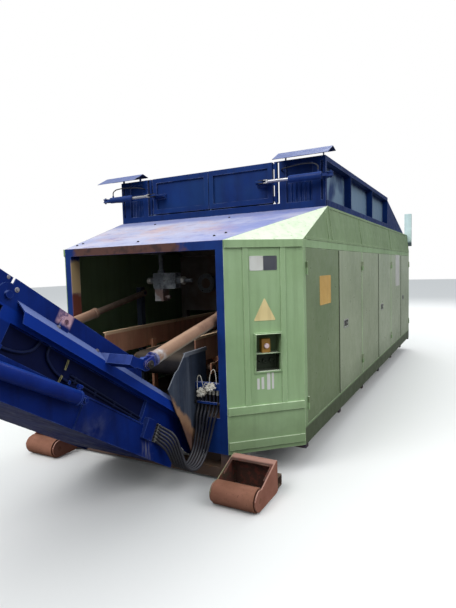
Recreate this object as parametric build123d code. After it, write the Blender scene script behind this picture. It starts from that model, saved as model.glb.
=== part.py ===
from build123d import *
import math
import os

os.makedirs("parts", exist_ok=True)

# Body of the machine
BODY_LENGTH = 6440.0
BODY_HALF_WIDTH = 1250.0
BODY_BOTTOM = 210.0
WALL_TOP = 1810.0
ROOF_RISE = 336.0
ROOF_HEIGHT = WALL_TOP + ROOF_RISE
STRIP_LEAN = 40.0
ROOF_EDGE_HALF = BODY_HALF_WIDTH - STRIP_LEAN
ROOF_SIDE_GAP = 3.0
PORTAL_HALF = 796.0
CHAMFER_DEPTH = 436.5
SHEET = 5.0
ROOF_SHEET = 4.0
JOINT_GAP = 0.3

# Skid frame
RAIL_HALF_GAUGE = 530.0
RAIL_WIDTH = 80.0
RAIL_HEIGHT = 180.0
RAIL_WEB = 8.0
BEAM_DEPTH = 100.0
BEAM_BOTTOM = 20.0
BEAM_TOP = 100.0
BEAM_WALL = 6.0
CROSS_COUNT = 7
CROSS_WIDTH = 60.0
FLOOR_SHEET = 5.0
FLOOR_INSET = 60.0
FLOOR_HALF = BODY_HALF_WIDTH - FLOOR_INSET
HOOK_HEIGHT = 1570.0
HOOK_BAR_RADIUS = 25.0
HOOK_HALF = 110.0
HOOK_LEG = 80.0
HOOK_DEPTH = 60.0

# Portal frame
POST_WIDTH = 65.0
POST_DEPTH = 100.0
POST_WALL = 5.0
FOOT_PLATE_HALF = 618.0
FOOT_PLATE_TOP = 480.0
FOOT_PLATE = 10.0
CLAMP_BAR_HALF = 515.0
CLAMP_BAR_Z = 582.0
CLAMP_BAR_HEIGHT = 16.0
CLAMP_BAR = 12.0
MANIFOLD_Z = 690.0
MANIFOLD_HEIGHT = 50.0
MANIFOLD_DEPTH = 40.0

# Corner panels
BAND_PROUD = 14.0
RIB_PROUD = 8.0
RIB_WIDTH = 38.0
RIB_PLACES = (165.0, 460.0)
BAND_EDGE = 8.0
TOP_BAND_HEIGHT = 56.0
MID_BAND_LOW = 510.0
MID_BAND_TOP = 567.0
FOOT_BAND_LOW = 246.0
FOOT_BAND_TOP = 304.0
RECESS_LEFT = 228.0
RECESS_WIDTH = 205.0
RECESS_LOW = 818.0
RECESS_HEIGHT = 290.0
RECESS_DEPTH = 95.0
BOX_WALL = 3.0
BOX_RIM = 8.0
BOX_PROUD = 8.0
HOOD_PROUD = 30.0
SHELF_HEIGHT = 954.0
ESTOP_WIDTH = 72.0
ESTOP_HEIGHT = 105.0
ESTOP_DEPTH = 55.0
BUTTON_RADIUS = 20.0
BUTTON_STEM = 10.0
BUTTON_HEAD = 14.0
BUTTON_TRAVEL = 5.0
SOCKET_COUNT = 3
SOCKET_PITCH = 55.0
SOCKET_RADIUS = 16.0
SOCKET_LENGTH = 24.0
SHAFT_FIT = 0.05

# Side walls and doors
SKIRT_TOP = 360.0
BAND_HEIGHT = 60.0
BAND_LOW = WALL_TOP - BAND_HEIGHT
FRAME_DEPTH = 50.0
FRAME_FLANGE = 5.0
CORNER_POST_DEPTH = 60.5
CORNER_POST_END = CHAMFER_DEPTH + CORNER_POST_DEPTH
HINGE_POST_WIDTH = 36.0
END_POST_DEPTH = 48.0
END_POST_START = BODY_LENGTH - END_POST_DEPTH
DOOR_BAYS = 3
DOOR_GAP = 3.0
MEETING_GAP = 4.0
DOOR_DEPTH = 28.0
DOOR_SKIN = 3.0
HINGE_OFFSET = 9.0
HINGE_RADIUS = 8.0
HINGE_PIN_RADIUS = 5.0
HINGE_LENGTH = 50.0
HINGE_FOOT = 120.0
HINGE_HEAD = 210.0
HINGE_HEIGHTS = (SKIRT_TOP + HINGE_FOOT, BAND_LOW - HINGE_HEAD)
HINGE_LEAF = 6.0
LATCH_SETBACK = 248.0
LATCH_HEIGHT = 1020.0
DISH_LENGTH = 150.0
DISH_HEIGHT = 60.0
DISH_DEPTH = 18.0
DISH_WALL = 2.0
PADDLE_CLEAR = 4.0
PADDLE_THICK = 5.0
TRUNNION_RADIUS = 3.0
STRIP_BAR = 25.0
STRIP_BAR_PROUD = 5.0
VENT_WIDTH = 112.0

# Rear wall
LOUVRE_COUNT = 9
LOUVRE_PITCH = 70.0
LOUVRE_HEIGHT = 22.0
LOUVRE_HALF = 420.0
LOUVRE_START = 760.0
LOUVRE_HOOD = 6.0
STACK_WIDTH = 118.0
STACK_DEPTH = 90.0
STACK_OVERHANG = 37.0
STACK_RISE = 390.0
STACK_DROP = 210.0
STACK_FOOT_DROP = 98.0
STACK_SPACE = 20.0

# Hopper
HOPPER_FRONT = 1250.0
HOPPER_LENGTH = 3230.0
HOPPER_END = HOPPER_FRONT + HOPPER_LENGTH
HOPPER_RISE = 459.0
HOPPER_TOP = ROOF_HEIGHT + HOPPER_RISE
HOPPER_MARGIN = 16.0
HOPPER_HALF = ROOF_EDGE_HALF - HOPPER_MARGIN
HOPPER_INSET = 84.0
HOPPER_RAIL = 64.0
HOPPER_CAP = 45.0
HOPPER_SHEET = 4.0
HOPPER_FRONT_DEPTH = 40.0
HOPPER_RIB_PITCH = 1135.0
MOUTH_SIDE_MARGIN = 144.0
MOUTH_END_MARGIN = 80.0
MOUTH_HALF = HOPPER_HALF - MOUTH_SIDE_MARGIN
MOUTH_START = HOPPER_FRONT + MOUTH_END_MARGIN
MOUTH_END = HOPPER_END - MOUTH_END_MARGIN
HOOD_SETBACK = 340.0
HOOD_END = BODY_LENGTH - HOOD_SETBACK
GATE_CENTRE = -40.0
GATE_HINGE_INSET = 448.0
GATE_HINGE_X = HOPPER_HALF - GATE_HINGE_INSET
GATE_HINGE_SETBACK = 18.0
GATE_HINGE_Y = HOPPER_FRONT + GATE_HINGE_SETBACK
GATE_TUBE_RADIUS = 18.0
GATE_PIN_RADIUS = 10.0
GATE_EDGE_GAP = 35.0
GATE_EDGE = GATE_HINGE_X - GATE_EDGE_GAP
GATE_MIDDLE = 4.0
GATE_FRAME = 50.0
GATE_SILL_GAP = 12.0
GATE_LOW = ROOF_HEIGHT + HOPPER_RAIL + GATE_SILL_GAP
GATE_SWING = 75.0
GATE_POST_GAP = 37.0
GATE_POST_WIDTH = 70.0
SIDE_MULLION = 80.0
HOPPER_CORNER = 44.0
SLAT_PITCH = 44.0
SLAT_WIDTH = 24.0
SLAT_TOP_GAP = 170.0

# Gate cylinders
GATE_CYL_DROP = 195.0
GATE_CYL_Z = HOPPER_TOP - GATE_CYL_DROP
GATE_CYL_OUT = 100.0
GATE_CYL_Y = HOPPER_FRONT - GATE_CYL_OUT
GATE_PIN_INSET = 121.0
GATE_PIN_X = GATE_HINGE_X - GATE_PIN_INSET
GATE_CYL_SPAN = 685.0
GATE_BASE_X = GATE_PIN_X + GATE_CYL_SPAN
GATE_BARREL_RADIUS = 32.0
GATE_ROD_RADIUS = 16.0
CYL_PIN_RADIUS = 10.0
GATE_LUG = 16.0
FORK_CHEEK = 8.0
CANOPY_FRONT = GATE_CYL_Y - 2.2 * GATE_BARREL_RADIUS
CANOPY_RIDGE = HOPPER_FRONT - GATE_PIN_RADIUS
CANOPY_REAR_LAP = 84.0
CANOPY_REAR = HOPPER_FRONT + CANOPY_REAR_LAP
CANOPY_LENGTH = 525.0
CANOPY_START = GATE_HINGE_X + GATE_CENTRE + 2 * GATE_TUBE_RADIUS
LEFT_CANOPY_SHIFT = 130.0
CANOPY_STAY_INSET = 60.0
CANOPY_DROP = 15.0
CANOPY_RISE = 70.0
CANOPY_LIFT = 45.0
CANOPY_FRONT_Z = HOPPER_TOP - CANOPY_DROP
CANOPY_RIDGE_Z = HOPPER_TOP + CANOPY_RISE
CANOPY_REAR_Z = HOPPER_TOP + CANOPY_LIFT
CANOPY_SHEET = 4.0

# Ground rollers
ROLLER_RADIUS = 80.0
ROLLER_WALL = 10.0
ROLLER_LENGTH = 310.0
ROLLER_INSET = 80.0
RIGHT_ROLLER = (BODY_HALF_WIDTH - ROLLER_INSET - ROLLER_LENGTH / 2, -300.0)
LEFT_ROLLER_SHIFT = 70.0
LEFT_ROLLER = (RIGHT_ROLLER[0] - LEFT_ROLLER_SHIFT, -200.0)
ROLLER_AXLE = 20.0
CHEEK = 10.0
CHEEK_GAP = 8.0
CHEEK_LIP = 14.0
BRACKET_TOP = 240.0
BEAM_HALF = RIGHT_ROLLER[0] + ROLLER_LENGTH / 2 + CHEEK_GAP

# Crusher
ROTOR_OFFSET = 200.0
ROTOR_Z = 1450.0
CHAMBER_HALF = 480.0
CHAMBER_START = 1460.0
CHAMBER_END = 3200.0
CHAMBER_LOW = 1150.0
CHAMBER_TOP = 1750.0
CHAMBER_WALL = 12.0
CHAMBER_RIB = 10.0
CHAMBER_RIB_DEPTH = 40.0
FUNNEL_WALL = 6.0
LEG = 60.0
JOURNAL_RADIUS = 55.0
SHAFT_RADIUS = 90.0
DISC_RADIUS = 215.0
TOOTH_RADIUS = 275.0
DISC_THICK = 62.0
DISC_COUNT = 12
DISC_SIDES = 12
TOOTH_COUNT = 3
DISC_PITCH = (CHAMBER_END - CHAMBER_START - DISC_THICK / 2) / DISC_COUNT
SHAFT_SIDE_GAP = 1.0
BOLT_COUNT = 6
BOLT_HOLE = 7.0
BEARING_RADIUS = 105.0
BEARING_THICK = 45.0
MOTOR_RADIUS = 90.0
MOTOR_LENGTH = 240.0
MOTOR_SHAFT = 40.0
MOTOR_FLANGE = 16.0

# Collecting conveyor below the crusher
COLLECT_HALF = 430.0
COLLECT_PLATE = 8.0
COLLECT_HEAD = 440.0
COLLECT_TAIL = 4150.0
COLLECT_Z = 760.0
DRUM_RADIUS = 90.0
DRUM_WALL = 8.0
DRUM_RECESS = 30.0
DRUM_SHAFT = 25.0
BELT_THICK = 10.0
BELT_HALF = 360.0
SKIRT_HALF = 470.0
SKIRT_PLATE = 6.0
SKIRT_LOW = 862.0
SKIRT_HIGH = 1072.0
SKIRT_LIP = 20.0
LEG_INSET = 300.0

# Discharge conveyor, measured along and square to the incline
INCLINE = 32.75
TILT_PIVOT = (120.0, 330.0)
TILT_DOWN = 5.0
TILT_UP = 25.0
SIDE_HALF = 420.0
SIDE_PLATE = 8.0
UPPER_EDGE = 552.0
LOWER_EDGE = -9.0
TAIL_ROUND = 200.0
RAISED_START = 960.0
RAISED_FOOT = 900.0
LIP_LEVEL = 455.0
FOLD_ALONG = 2070.0
FOLD_ACROSS = 460.0
FOLD_UP = 60.0
FOLD_GAP = 5.0
EAR_RADIUS = 60.0
FOLD_PIN_RADIUS = 20.0
FLANGE_OUT = 485.0
FLANGE_START = 480.0
FLANGE_END = 2005.0
FLANGE_TOP = 460.0
FLANGE_BEND = 410.0
FLANGE_LOW = 352.0
FLANGE_SHEET = 5.0
HEAD_ALONG = 3560.0
TOP_END = 3700.0
UPPER_HALF = 410.0
LUG_ALONG = 1690.0
LUG_RADIUS = 34.0
LUG_HOLE = 17.0
BED_SHEET = 6.0
MEMBER_COUNT = 4
UPPER_MEMBER_COUNT = 3
MEMBER_HEIGHT = 60.0
MEMBER_WIDTH = 50.0
STUB_RADIUS = 30.0
RECESS_FOOT = 190.0
RECESS_HEAD = 345.0
RECESS_START = 770.0
RECESS_END = 1990.0
SIDE_RECESS = 24.0
CHANNEL_PROUD = 12.0
CHANNEL_LIP = 8.0
CHANNEL_END = 1345.0
COUPLING_ALONG = 640.0
COUPLING_LOW = 118.0
COUPLING_PITCH = 21.0
PIPE_RADIUS = 6.0
PIPE_RISE = 36.0
PIPE_END = 1490.0
PIPE_CLIPS = 4

# Discharge cheek plates
CHEEK_PLATE_HALF = 500.0
CHEEK_PLATE = 8.0
CHEEK_REAR = 70.0
CHEEK_TOP = 985.0
CHEEK_NOSE = (-330.0, 760.0)
CHEEK_TOP_FRONT = -120.0
CHEEK_FOOT = -60.0
CHEEK_FOLD = 12.0
CHEEK_FOLDS = (-235.0, -215.0, -75.0, -55.0)
CHEEK_HEM = 26.0

# Lift cylinders
LIFT_X = 655.0
LIFT_PIN = (-765.0, 1040.0)
LIFT_BASE = (900.0, 1373.0)
LIFT_BARREL_RADIUS = 43.0
LIFT_BARREL_LENGTH = 890.0
LIFT_ROD_RADIUS = 30.0
LIFT_PIN_RADIUS = 18.0
LIFT_LUG = 30.0
LIFT_CHEEK = 14.0
LIFT_ARM_ALONG = 1320.0
LIFT_ARM_ACROSS = 430.0

# Fold cylinders
FOLD_CYL_X = 468.0
FOLD_BASE = (1390.0, 155.0)
FOLD_PIN = (2165.0, 96.0)
FOLD_BARREL_RADIUS = 41.0
FOLD_BARREL_LENGTH = 600.0
FOLD_ROD_RADIUS = 20.0
FOLD_LUG = 12.0
LIFT_NOSE_RADIUS = 2.3 * LIFT_PIN_RADIUS
FOLD_CYL_PIN = 1.5 * CYL_PIN_RADIUS
FOLD_NOSE_RADIUS = 3.2 * CYL_PIN_RADIUS
PIN_PLAY = 1.0
FORK_CLEARANCE = 4.0

# Hoses
HOSE_COUNT = 6
HOSE_RADIUS = 9.0
HOSE_START_PITCH = 34.0
HOSE_START_MARGIN = 20.0
HOSE_TOP_BEND = 26.0
HOSE_FRONT = -24.0
HOSE_LOW_X = CHEEK_PLATE_HALF + CHEEK_PLATE + CHEEK_FOLD + 2 * HOSE_RADIUS
HOSE_LOW_PITCH = 22.0
HOSE_LOWEST = 160.0
HOSE_TURN = (-80.0, -190.0, -310.0)
GATE_HOSE_RADIUS = 6.0
SMALL_HOSE_RADIUS = 8.0
SMALL_HOSES = (
    ((1705.0, 350.0), (1700.0, 285.0), (1625.0, 240.0), (1545.0, 222.0), (1490.0, 218.0)),
    ((1771.0, 350.0), (1790.0, 285.0), (1850.0, 245.0), (1920.0, 228.0), (1985.0, 222.0)),
)

# Hydraulic valve behind the lintel
VALVE_X = -90.0
VALVE_Y = 450.0
VALVE_ARM = 16.0
VALVE_HALF = 45.0
VALVE_WIDTH = 240.0
VALVE_HEIGHT = 140.0
VALVE_DROP = 165.0
VALVE_STEM = 20.0
VALVE_COLLAR = 32.0
VALVE_COLLAR_HEIGHT = 25.0
VALVE_FOOT_HEIGHT = 110.0
VALVE_PORT = 26.0
VALVE_PORT_LENGTH = 45.0
VALVE_NUT = 34.0
VALVE_PIPE = 16.0
VALVE_PIPE_LENGTH = 100.0

# Power pack
ENGINE_X = 400.0
ENGINE_END = 590.0
ENGINE_LENGTH = 900.0
ENGINE_START = BODY_LENGTH - ENGINE_END - ENGINE_LENGTH
ENGINE_HALF = 200.0
ENGINE_HEIGHT = 480.0
ENGINE_BED = 80.0
ENGINE_BED_RAIL = 100.0
HEAD_HEIGHT = 140.0
HEAD_INSET = 60.0
MANIFOLD_RADIUS = 60.0
FLYWHEEL_RADIUS = 190.0
FLYWHEEL_LENGTH = 120.0
PUMP_RADIUS = 130.0
PUMP_LENGTH = 200.0
RADIATOR_HALF = 350.0
RADIATOR_DEPTH = 100.0
RADIATOR_GAP = 200.0
RADIATOR_HEIGHT = 700.0
FIN_COUNT = 10
CYLINDER_COUNT = 4
INJECTOR_RADIUS = 50.0
INJECTOR_HEIGHT = 60.0
TANK_INSET = 130.0
TANK_WIDTH = 420.0
TANK_LENGTH = 800.0
TANK_HEIGHT = 750.0
TANK_ROUND = 40.0
TANK_GAP = 288.0
NECK_RADIUS = 45.0
NECK_HEIGHT = 50.0

NODES = {}

COS = math.cos(math.radians(INCLINE))
SIN = math.sin(math.radians(INCLINE))


def block(x, y, z):
    """Straight-sided solid between two corners."""
    centre = Pos(sum(x) / 2, sum(y) / 2, sum(z) / 2)
    return centre * Box(x[1] - x[0], y[1] - y[0], z[1] - z[0])


def tube_block(x, y, z, wall, along):
    """Rectangular tube; the hollow runs along the named direction."""
    spans = {"x": list(x), "y": list(y), "z": list(z)}
    for name in spans:
        if name != along:
            spans[name] = [spans[name][0] + wall, spans[name][1] - wall]
    return block(x, y, z) - block(spans["x"], spans["y"], spans["z"])


def side_plate(points, x):
    """Outline of (y, z) points given a thickness across the machine."""
    plane = Plane(origin=(x[0], 0, 0), x_dir=(0, 1, 0), z_dir=(1, 0, 0))
    return extrude(plane * Polygon(*points, align=None), amount=x[1] - x[0], dir=(1, 0, 0))


def front_plate(points, y):
    """Outline of (x, z) points given a thickness into the machine."""
    plane = Plane(origin=(0, y[0], 0), x_dir=(1, 0, 0), z_dir=(0, -1, 0))
    return extrude(plane * Polygon(*points, align=None), amount=y[1] - y[0], dir=(0, 1, 0))


def plan_plate(points, z):
    """Outline of (x, y) points given a height."""
    return extrude(Pos(0, 0, z[0]) * Polygon(*points, align=None), amount=z[1] - z[0], dir=(0, 0, 1))


def bar(start, end, radius):
    """Round bar between two points."""
    axis = Vector(*end) - Vector(*start)
    return Solid.make_cylinder(radius, axis.length, Plane(origin=start, z_dir=axis))


def bar_x(x, y, z, radius):
    return bar((x[0], y, z), (x[1], y, z), radius)


def bar_y(x, y, z, radius):
    return bar((x, y[0], z), (x, y[1], z), radius)


def bar_z(x, y, z, radius):
    return bar((x, y, z[0]), (x, y, z[1]), radius)


def leaning_plate(points, thickness):
    """Flat sheet on 3-D corner points, thick towards the inside of the machine."""
    first, second, third = (Vector(*p) for p in points[:3])
    normal = (second - first).cross(third - first).normalized()
    inside = Vector(0, BODY_LENGTH / 2, BODY_BOTTOM)
    if normal.dot(inside - first) < 0:
        normal = normal * -1
    face = Face(Wire.make_polygon([Vector(*p) for p in points], close=True))
    return extrude(face, amount=thickness, dir=normal)


def joined(pieces):
    """Pieces welded or cast as one, or a group that shares one node."""
    total = pieces[0]
    for piece in pieces[1:]:
        total = total + piece
    return total


def mirrored(shape):
    return mirror(shape, about=Plane.YZ)


def both_sides(shape):
    return joined([shape, mirrored(shape)])


def incline(along, across):
    """(y, z) of a point measured along and square to the discharge conveyor."""
    return (-along * COS + across * SIN, along * SIN + across * COS)


def incline_plate(points, x):
    return side_plate([incline(*p) for p in points], x)


def incline_bar(along, across, x, radius):
    y, z = incline(along, across)
    return bar_x(x, y, z, radius)


def incline_block(along, across, x):
    corners = [(along[0], across[0]), (along[1], across[0]), (along[1], across[1]), (along[0], across[1])]
    return incline_plate(corners, x)


def add(name, shape):
    NODES[name] = shape


def turned(point, centre, angle):
    """Point of a plane turned about a centre by radians."""
    dx = point[0] - centre[0]
    dy = point[1] - centre[1]
    cos, sin = math.cos(angle), math.sin(angle)
    return (centre[0] + dx * cos - dy * sin, centre[1] + dx * sin + dy * cos)


def reach(base, pin):
    """Length and direction of a cylinder from its base pivot to its pin."""
    return (math.dist(base, pin), math.atan2(pin[1] - base[1], pin[0] - base[0]))


def linkage(centre, base, pin, low, high):
    """Steady stroke and swing per radian, and the pin's path on the driven body.

    The law meets the true linkage at rest and at 5/6 of the travel.
    """
    matched = high * 5 / 6
    rest_length, rest_angle = reach(base, pin)
    length, angle = reach(base, turned(pin, centre, matched))
    swing = (angle - rest_angle + math.pi) % (2 * math.pi) - math.pi
    stroke_rate = (length - rest_length) / matched
    swing_rate = swing / matched
    path = []
    steps = 8
    for step in range(steps + 1):
        turn = low + (high - low) * step / steps
        now = rest_length + stroke_rate * turn
        way = rest_angle + swing_rate * turn
        tip = (base[0] + now * math.cos(way), base[1] + now * math.sin(way))
        path.append(turned(tip, centre, -turn))
    return stroke_rate, swing_rate, path


def slot_outline(path, radius):
    """Slot in which a pin of nearly this radius can follow its path."""
    rings = [Pos(*point) * Circle(radius) for point in path]
    return make_hull([ring.edge() for ring in rings])


def fork_depth(path, nose_radius):
    """Depth of a fork whose root stays clear of the slotted lug in every pose."""
    span = max(math.dist(first, second) for first in path for second in path)
    return nose_radius + span + FORK_CLEARANCE


def base_frame():
    web = (RAIL_HALF_GAUGE - RAIL_WEB / 2, RAIL_HALF_GAUGE + RAIL_WEB / 2)
    flange = (RAIL_HALF_GAUGE - RAIL_WIDTH / 2, RAIL_HALF_GAUGE + RAIL_WIDTH / 2)
    hook_y = (BODY_LENGTH + RAIL_WEB, BODY_LENGTH + RAIL_WEB + HOOK_DEPTH)
    run = (BEAM_DEPTH, hook_y[1])
    rail = joined([
        block(web, run, (0, RAIL_HEIGHT)),
        block(flange, run, (0, RAIL_WEB)),
        block(flange, run, (RAIL_HEIGHT - RAIL_WEB, RAIL_HEIGHT)),
    ])
    leg = front_plate([
        (flange[0], RAIL_HEIGHT), (flange[1], RAIL_HEIGHT),
        (HOOK_HALF + HOOK_LEG, HOOK_HEIGHT + HOOK_LEG / 2), (HOOK_HALF, HOOK_HEIGHT + HOOK_LEG / 2),
    ], hook_y)
    beam = tube_block((-BEAM_HALF, BEAM_HALF), (0, BEAM_DEPTH), (BEAM_BOTTOM, BEAM_TOP), BEAM_WALL, "x")
    stub = block((PORTAL_HALF - POST_WIDTH, PORTAL_HALF), (0, POST_DEPTH), (BEAM_TOP, BODY_BOTTOM))
    first = CHAMFER_DEPTH + CROSS_WIDTH / 2
    last = BODY_LENGTH - CROSS_WIDTH
    pitch = (last - first) / (CROSS_COUNT - 1)
    members = []
    for index in range(CROSS_COUNT):
        y = first + index * pitch
        members.append(block((-BODY_HALF_WIDTH, BODY_HALF_WIDTH), (y - CROSS_WIDTH / 2, y + CROSS_WIDTH / 2),
                             (RAIL_HEIGHT, BODY_BOTTOM)))
    floor = block((-FLOOR_HALF, FLOOR_HALF), (first, last), (BODY_BOTTOM, BODY_BOTTOM + FLOOR_SHEET))
    hook_mid = sum(hook_y) / 2
    hook_end = HOOK_HALF + HOOK_LEG / 2
    hook = bar_x((-hook_end, hook_end), hook_mid, HOOK_HEIGHT, HOOK_BAR_RADIUS)
    tie_z = (RAIL_HEIGHT + HOOK_HEIGHT) / 2
    tie_half = (RAIL_HALF_GAUGE + HOOK_HALF) / 2
    tie = block((-tie_half, tie_half), hook_y, (tie_z - HOOK_LEG / 2, tie_z + HOOK_LEG / 2))
    return joined([beam, both_sides(joined([rail, leg, stub])), floor, hook, tie] + members)


def portal_frame():
    inner = PORTAL_HALF - POST_WIDTH
    post = tube_block((inner, PORTAL_HALF), (0, POST_DEPTH), (BODY_BOTTOM, WALL_TOP), POST_WALL, "z")
    lintel = tube_block((-inner, inner), (0, POST_DEPTH), (WALL_TOP - POST_WIDTH, WALL_TOP), POST_WALL, "x")
    foot = block((FOOT_PLATE_HALF, inner), (0, FOOT_PLATE), (BODY_BOTTOM, FOOT_PLATE_TOP))
    clamp = block((CLAMP_BAR_HALF, inner), (0, CLAMP_BAR), (CLAMP_BAR_Z, CLAMP_BAR_Z + CLAMP_BAR_HEIGHT))
    manifold = block((CLAMP_BAR_HALF, inner), (CLAMP_BAR, CLAMP_BAR + MANIFOLD_DEPTH),
                     (MANIFOLD_Z, MANIFOLD_Z + MANIFOLD_HEIGHT))
    return joined([both_sides(joined([post, foot])), lintel, clamp, manifold])


CHAMFER_RUN = BODY_HALF_WIDTH - PORTAL_HALF
PANEL_LENGTH = math.hypot(CHAMFER_RUN, CHAMFER_DEPTH)
PANEL_ALONG = (CHAMFER_RUN / PANEL_LENGTH, CHAMFER_DEPTH / PANEL_LENGTH)
PANEL_PLANE = Plane(origin=(PORTAL_HALF, 0, 0), x_dir=(PANEL_ALONG[0], PANEL_ALONG[1], 0),
                    z_dir=(PANEL_ALONG[1], -PANEL_ALONG[0], 0))


def on_panel(along, height, out):
    """Solid on the corner panel: span along it, span of height, span outwards."""
    sketch = Pos(sum(along) / 2, sum(height) / 2) * Rectangle(along[1] - along[0], height[1] - height[0])
    plane = PANEL_PLANE.offset(out[0])
    return extrude(plane * sketch, amount=out[1] - out[0], dir=PANEL_PLANE.z_dir)


def panel_bar(along, height, radius, out):
    plane = PANEL_PLANE.offset(out[0])
    sketch = Pos(along, height) * Circle(radius)
    return extrude(plane * sketch, amount=out[1] - out[0], dir=PANEL_PLANE.z_dir)


def corner_panel(with_recess):
    back = SHEET / PANEL_ALONG[0]
    sheet = plan_plate([
        (PORTAL_HALF, 0), (BODY_HALF_WIDTH, CHAMFER_DEPTH),
        (BODY_HALF_WIDTH, CHAMFER_DEPTH + back), (PORTAL_HALF, back),
    ], (BODY_BOTTOM, WALL_TOP))
    span = (BAND_EDGE, PANEL_LENGTH - BAND_EDGE)
    top_low = WALL_TOP - TOP_BAND_HEIGHT
    pieces = [sheet]
    for low, high in ((FOOT_BAND_LOW, FOOT_BAND_TOP), (MID_BAND_LOW, MID_BAND_TOP), (top_low, WALL_TOP)):
        pieces.append(on_panel(span, (low, high), (0, BAND_PROUD)))
    for place in RIB_PLACES:
        pieces.append(on_panel((place - RIB_WIDTH / 2, place + RIB_WIDTH / 2), (MID_BAND_TOP, top_low),
                               (0, RIB_PROUD)))
    panel = joined(pieces)
    if with_recess:
        panel = panel - on_panel((RECESS_LEFT, RECESS_LEFT + RECESS_WIDTH),
                                 (RECESS_LOW, RECESS_LOW + RECESS_HEIGHT), (-2 * SHEET, 2 * SHEET))
    return panel


def control_box():
    """Recessed box with a rim that widens upwards into a rain hood."""
    along = (RECESS_LEFT + JOINT_GAP, RECESS_LEFT + RECESS_WIDTH - JOINT_GAP)
    height = (RECESS_LOW + JOINT_GAP, RECESS_LOW + RECESS_HEIGHT - JOINT_GAP)
    shell = on_panel(along, height, (-RECESS_DEPTH, BOX_PROUD))
    inner_along = (along[0] + BOX_WALL, along[1] - BOX_WALL)
    inner_height = (height[0] + BOX_WALL, height[1] - BOX_WALL)
    rim = on_panel((along[0] - BOX_RIM, along[1] + BOX_RIM), (height[0] - BOX_RIM, height[1] + BOX_RIM),
                   (0, BOX_PROUD))
    side = [(0, height[0]), (BOX_PROUD, height[0]), (HOOD_PROUD, height[1]), (0, height[1])]
    start = PANEL_PLANE.origin + PANEL_PLANE.x_dir * along[0]
    hood_plane = Plane(origin=start, x_dir=PANEL_PLANE.z_dir, z_dir=PANEL_PLANE.x_dir * -1)
    hood_side = hood_plane * Polygon(*side, align=None)
    hood = extrude(hood_side, amount=along[1] - along[0], dir=PANEL_PLANE.x_dir)
    hollow = on_panel(inner_along, inner_height, (-RECESS_DEPTH + BOX_WALL, 2 * HOOD_PROUD))
    shelf = on_panel(inner_along, (SHELF_HEIGHT, SHELF_HEIGHT + BOX_WALL), (-RECESS_DEPTH + BOX_WALL, 0))
    pieces = [shell + rim + hood - hollow, shelf]
    middle = sum(along) / 2
    level = (height[0] + SHELF_HEIGHT) / 2
    for index in range(SOCKET_COUNT):
        place = middle + (index - (SOCKET_COUNT - 1) / 2) * SOCKET_PITCH
        socket = panel_bar(place, level, SOCKET_RADIUS, (-RECESS_DEPTH, -RECESS_DEPTH + SOCKET_LENGTH))
        mouth = panel_bar(place, level, SOCKET_RADIUS - BOX_WALL,
                          (-RECESS_DEPTH + SOCKET_LENGTH / 2, -RECESS_DEPTH + SOCKET_LENGTH))
        pieces.append(socket - mouth)
    return joined(pieces)


ESTOP_ALONG = RECESS_LEFT + RECESS_WIDTH / 2
ESTOP_LOW = SHELF_HEIGHT + BOX_WALL
ESTOP_LEVEL = ESTOP_LOW + ESTOP_HEIGHT / 2
ESTOP_BACK = -RECESS_DEPTH + BOX_WALL
ESTOP_FACE = ESTOP_BACK + ESTOP_DEPTH


def estop_housing():
    body = on_panel((ESTOP_ALONG - ESTOP_WIDTH / 2, ESTOP_ALONG + ESTOP_WIDTH / 2),
                    (ESTOP_LOW, ESTOP_LOW + ESTOP_HEIGHT), (ESTOP_BACK, ESTOP_FACE))
    body = fillet(body.edges().filter_by(Axis.Z), BOX_RIM)
    bore = panel_bar(ESTOP_ALONG, ESTOP_LEVEL, BUTTON_STEM + SHAFT_FIT,
                     (ESTOP_BACK + BOX_RIM, ESTOP_FACE + BOX_RIM))
    return body - bore


def estop_button():
    stem = panel_bar(ESTOP_ALONG, ESTOP_LEVEL, BUTTON_STEM,
                     (ESTOP_BACK + BOX_RIM + 2 * BUTTON_TRAVEL, ESTOP_FACE + 2 * BUTTON_TRAVEL))
    head_low = ESTOP_FACE + BUTTON_TRAVEL + PIN_PLAY
    head = panel_bar(ESTOP_ALONG, ESTOP_LEVEL, BUTTON_RADIUS, (head_low, head_low + BUTTON_HEAD))
    outwards = Axis(origin=(0, 0, 0), direction=PANEL_PLANE.z_dir)
    rim = head.edges().filter_by(GeomType.CIRCLE).sort_by(outwards)[-1]
    return joined([fillet(rim, BUTTON_HEAD / 2), stem])


FRAME_START = CHAMFER_DEPTH + SHEET / PANEL_ALONG[0]
FRAME_END = BODY_LENGTH - SHEET
FRAME_X = (BODY_HALF_WIDTH - FRAME_DEPTH, BODY_HALF_WIDTH)
SKIN_X = (BODY_HALF_WIDTH - SHEET, BODY_HALF_WIDTH)


def hinge_posts():
    """Middles of the posts between the equal door bays."""
    gaps = DOOR_BAYS - 1
    bay = (END_POST_START - CORNER_POST_END - gaps * HINGE_POST_WIDTH) / DOOR_BAYS
    step = bay + HINGE_POST_WIDTH
    return [CORNER_POST_END + (index + 1) * step - HINGE_POST_WIDTH / 2 for index in range(gaps)]


def hinge_lines():
    """Hinge places: y of the axis, and +1 when the door lies towards +Y."""
    lines = [(CORNER_POST_END + DOOR_GAP / 2, 1)]
    for post in hinge_posts():
        lines.append((post - HINGE_POST_WIDTH / 2 - DOOR_GAP / 2, -1))
        lines.append((post + HINGE_POST_WIDTH / 2 + DOOR_GAP / 2, 1))
    lines.append((END_POST_START - DOOR_GAP / 2, -1))
    return lines


def door_meetings():
    """Middle of each bay, where its two doors meet."""
    lines = hinge_lines()
    return [(first[0] + second[0]) / 2 for first, second in zip(lines[::2], lines[1::2])]


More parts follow.
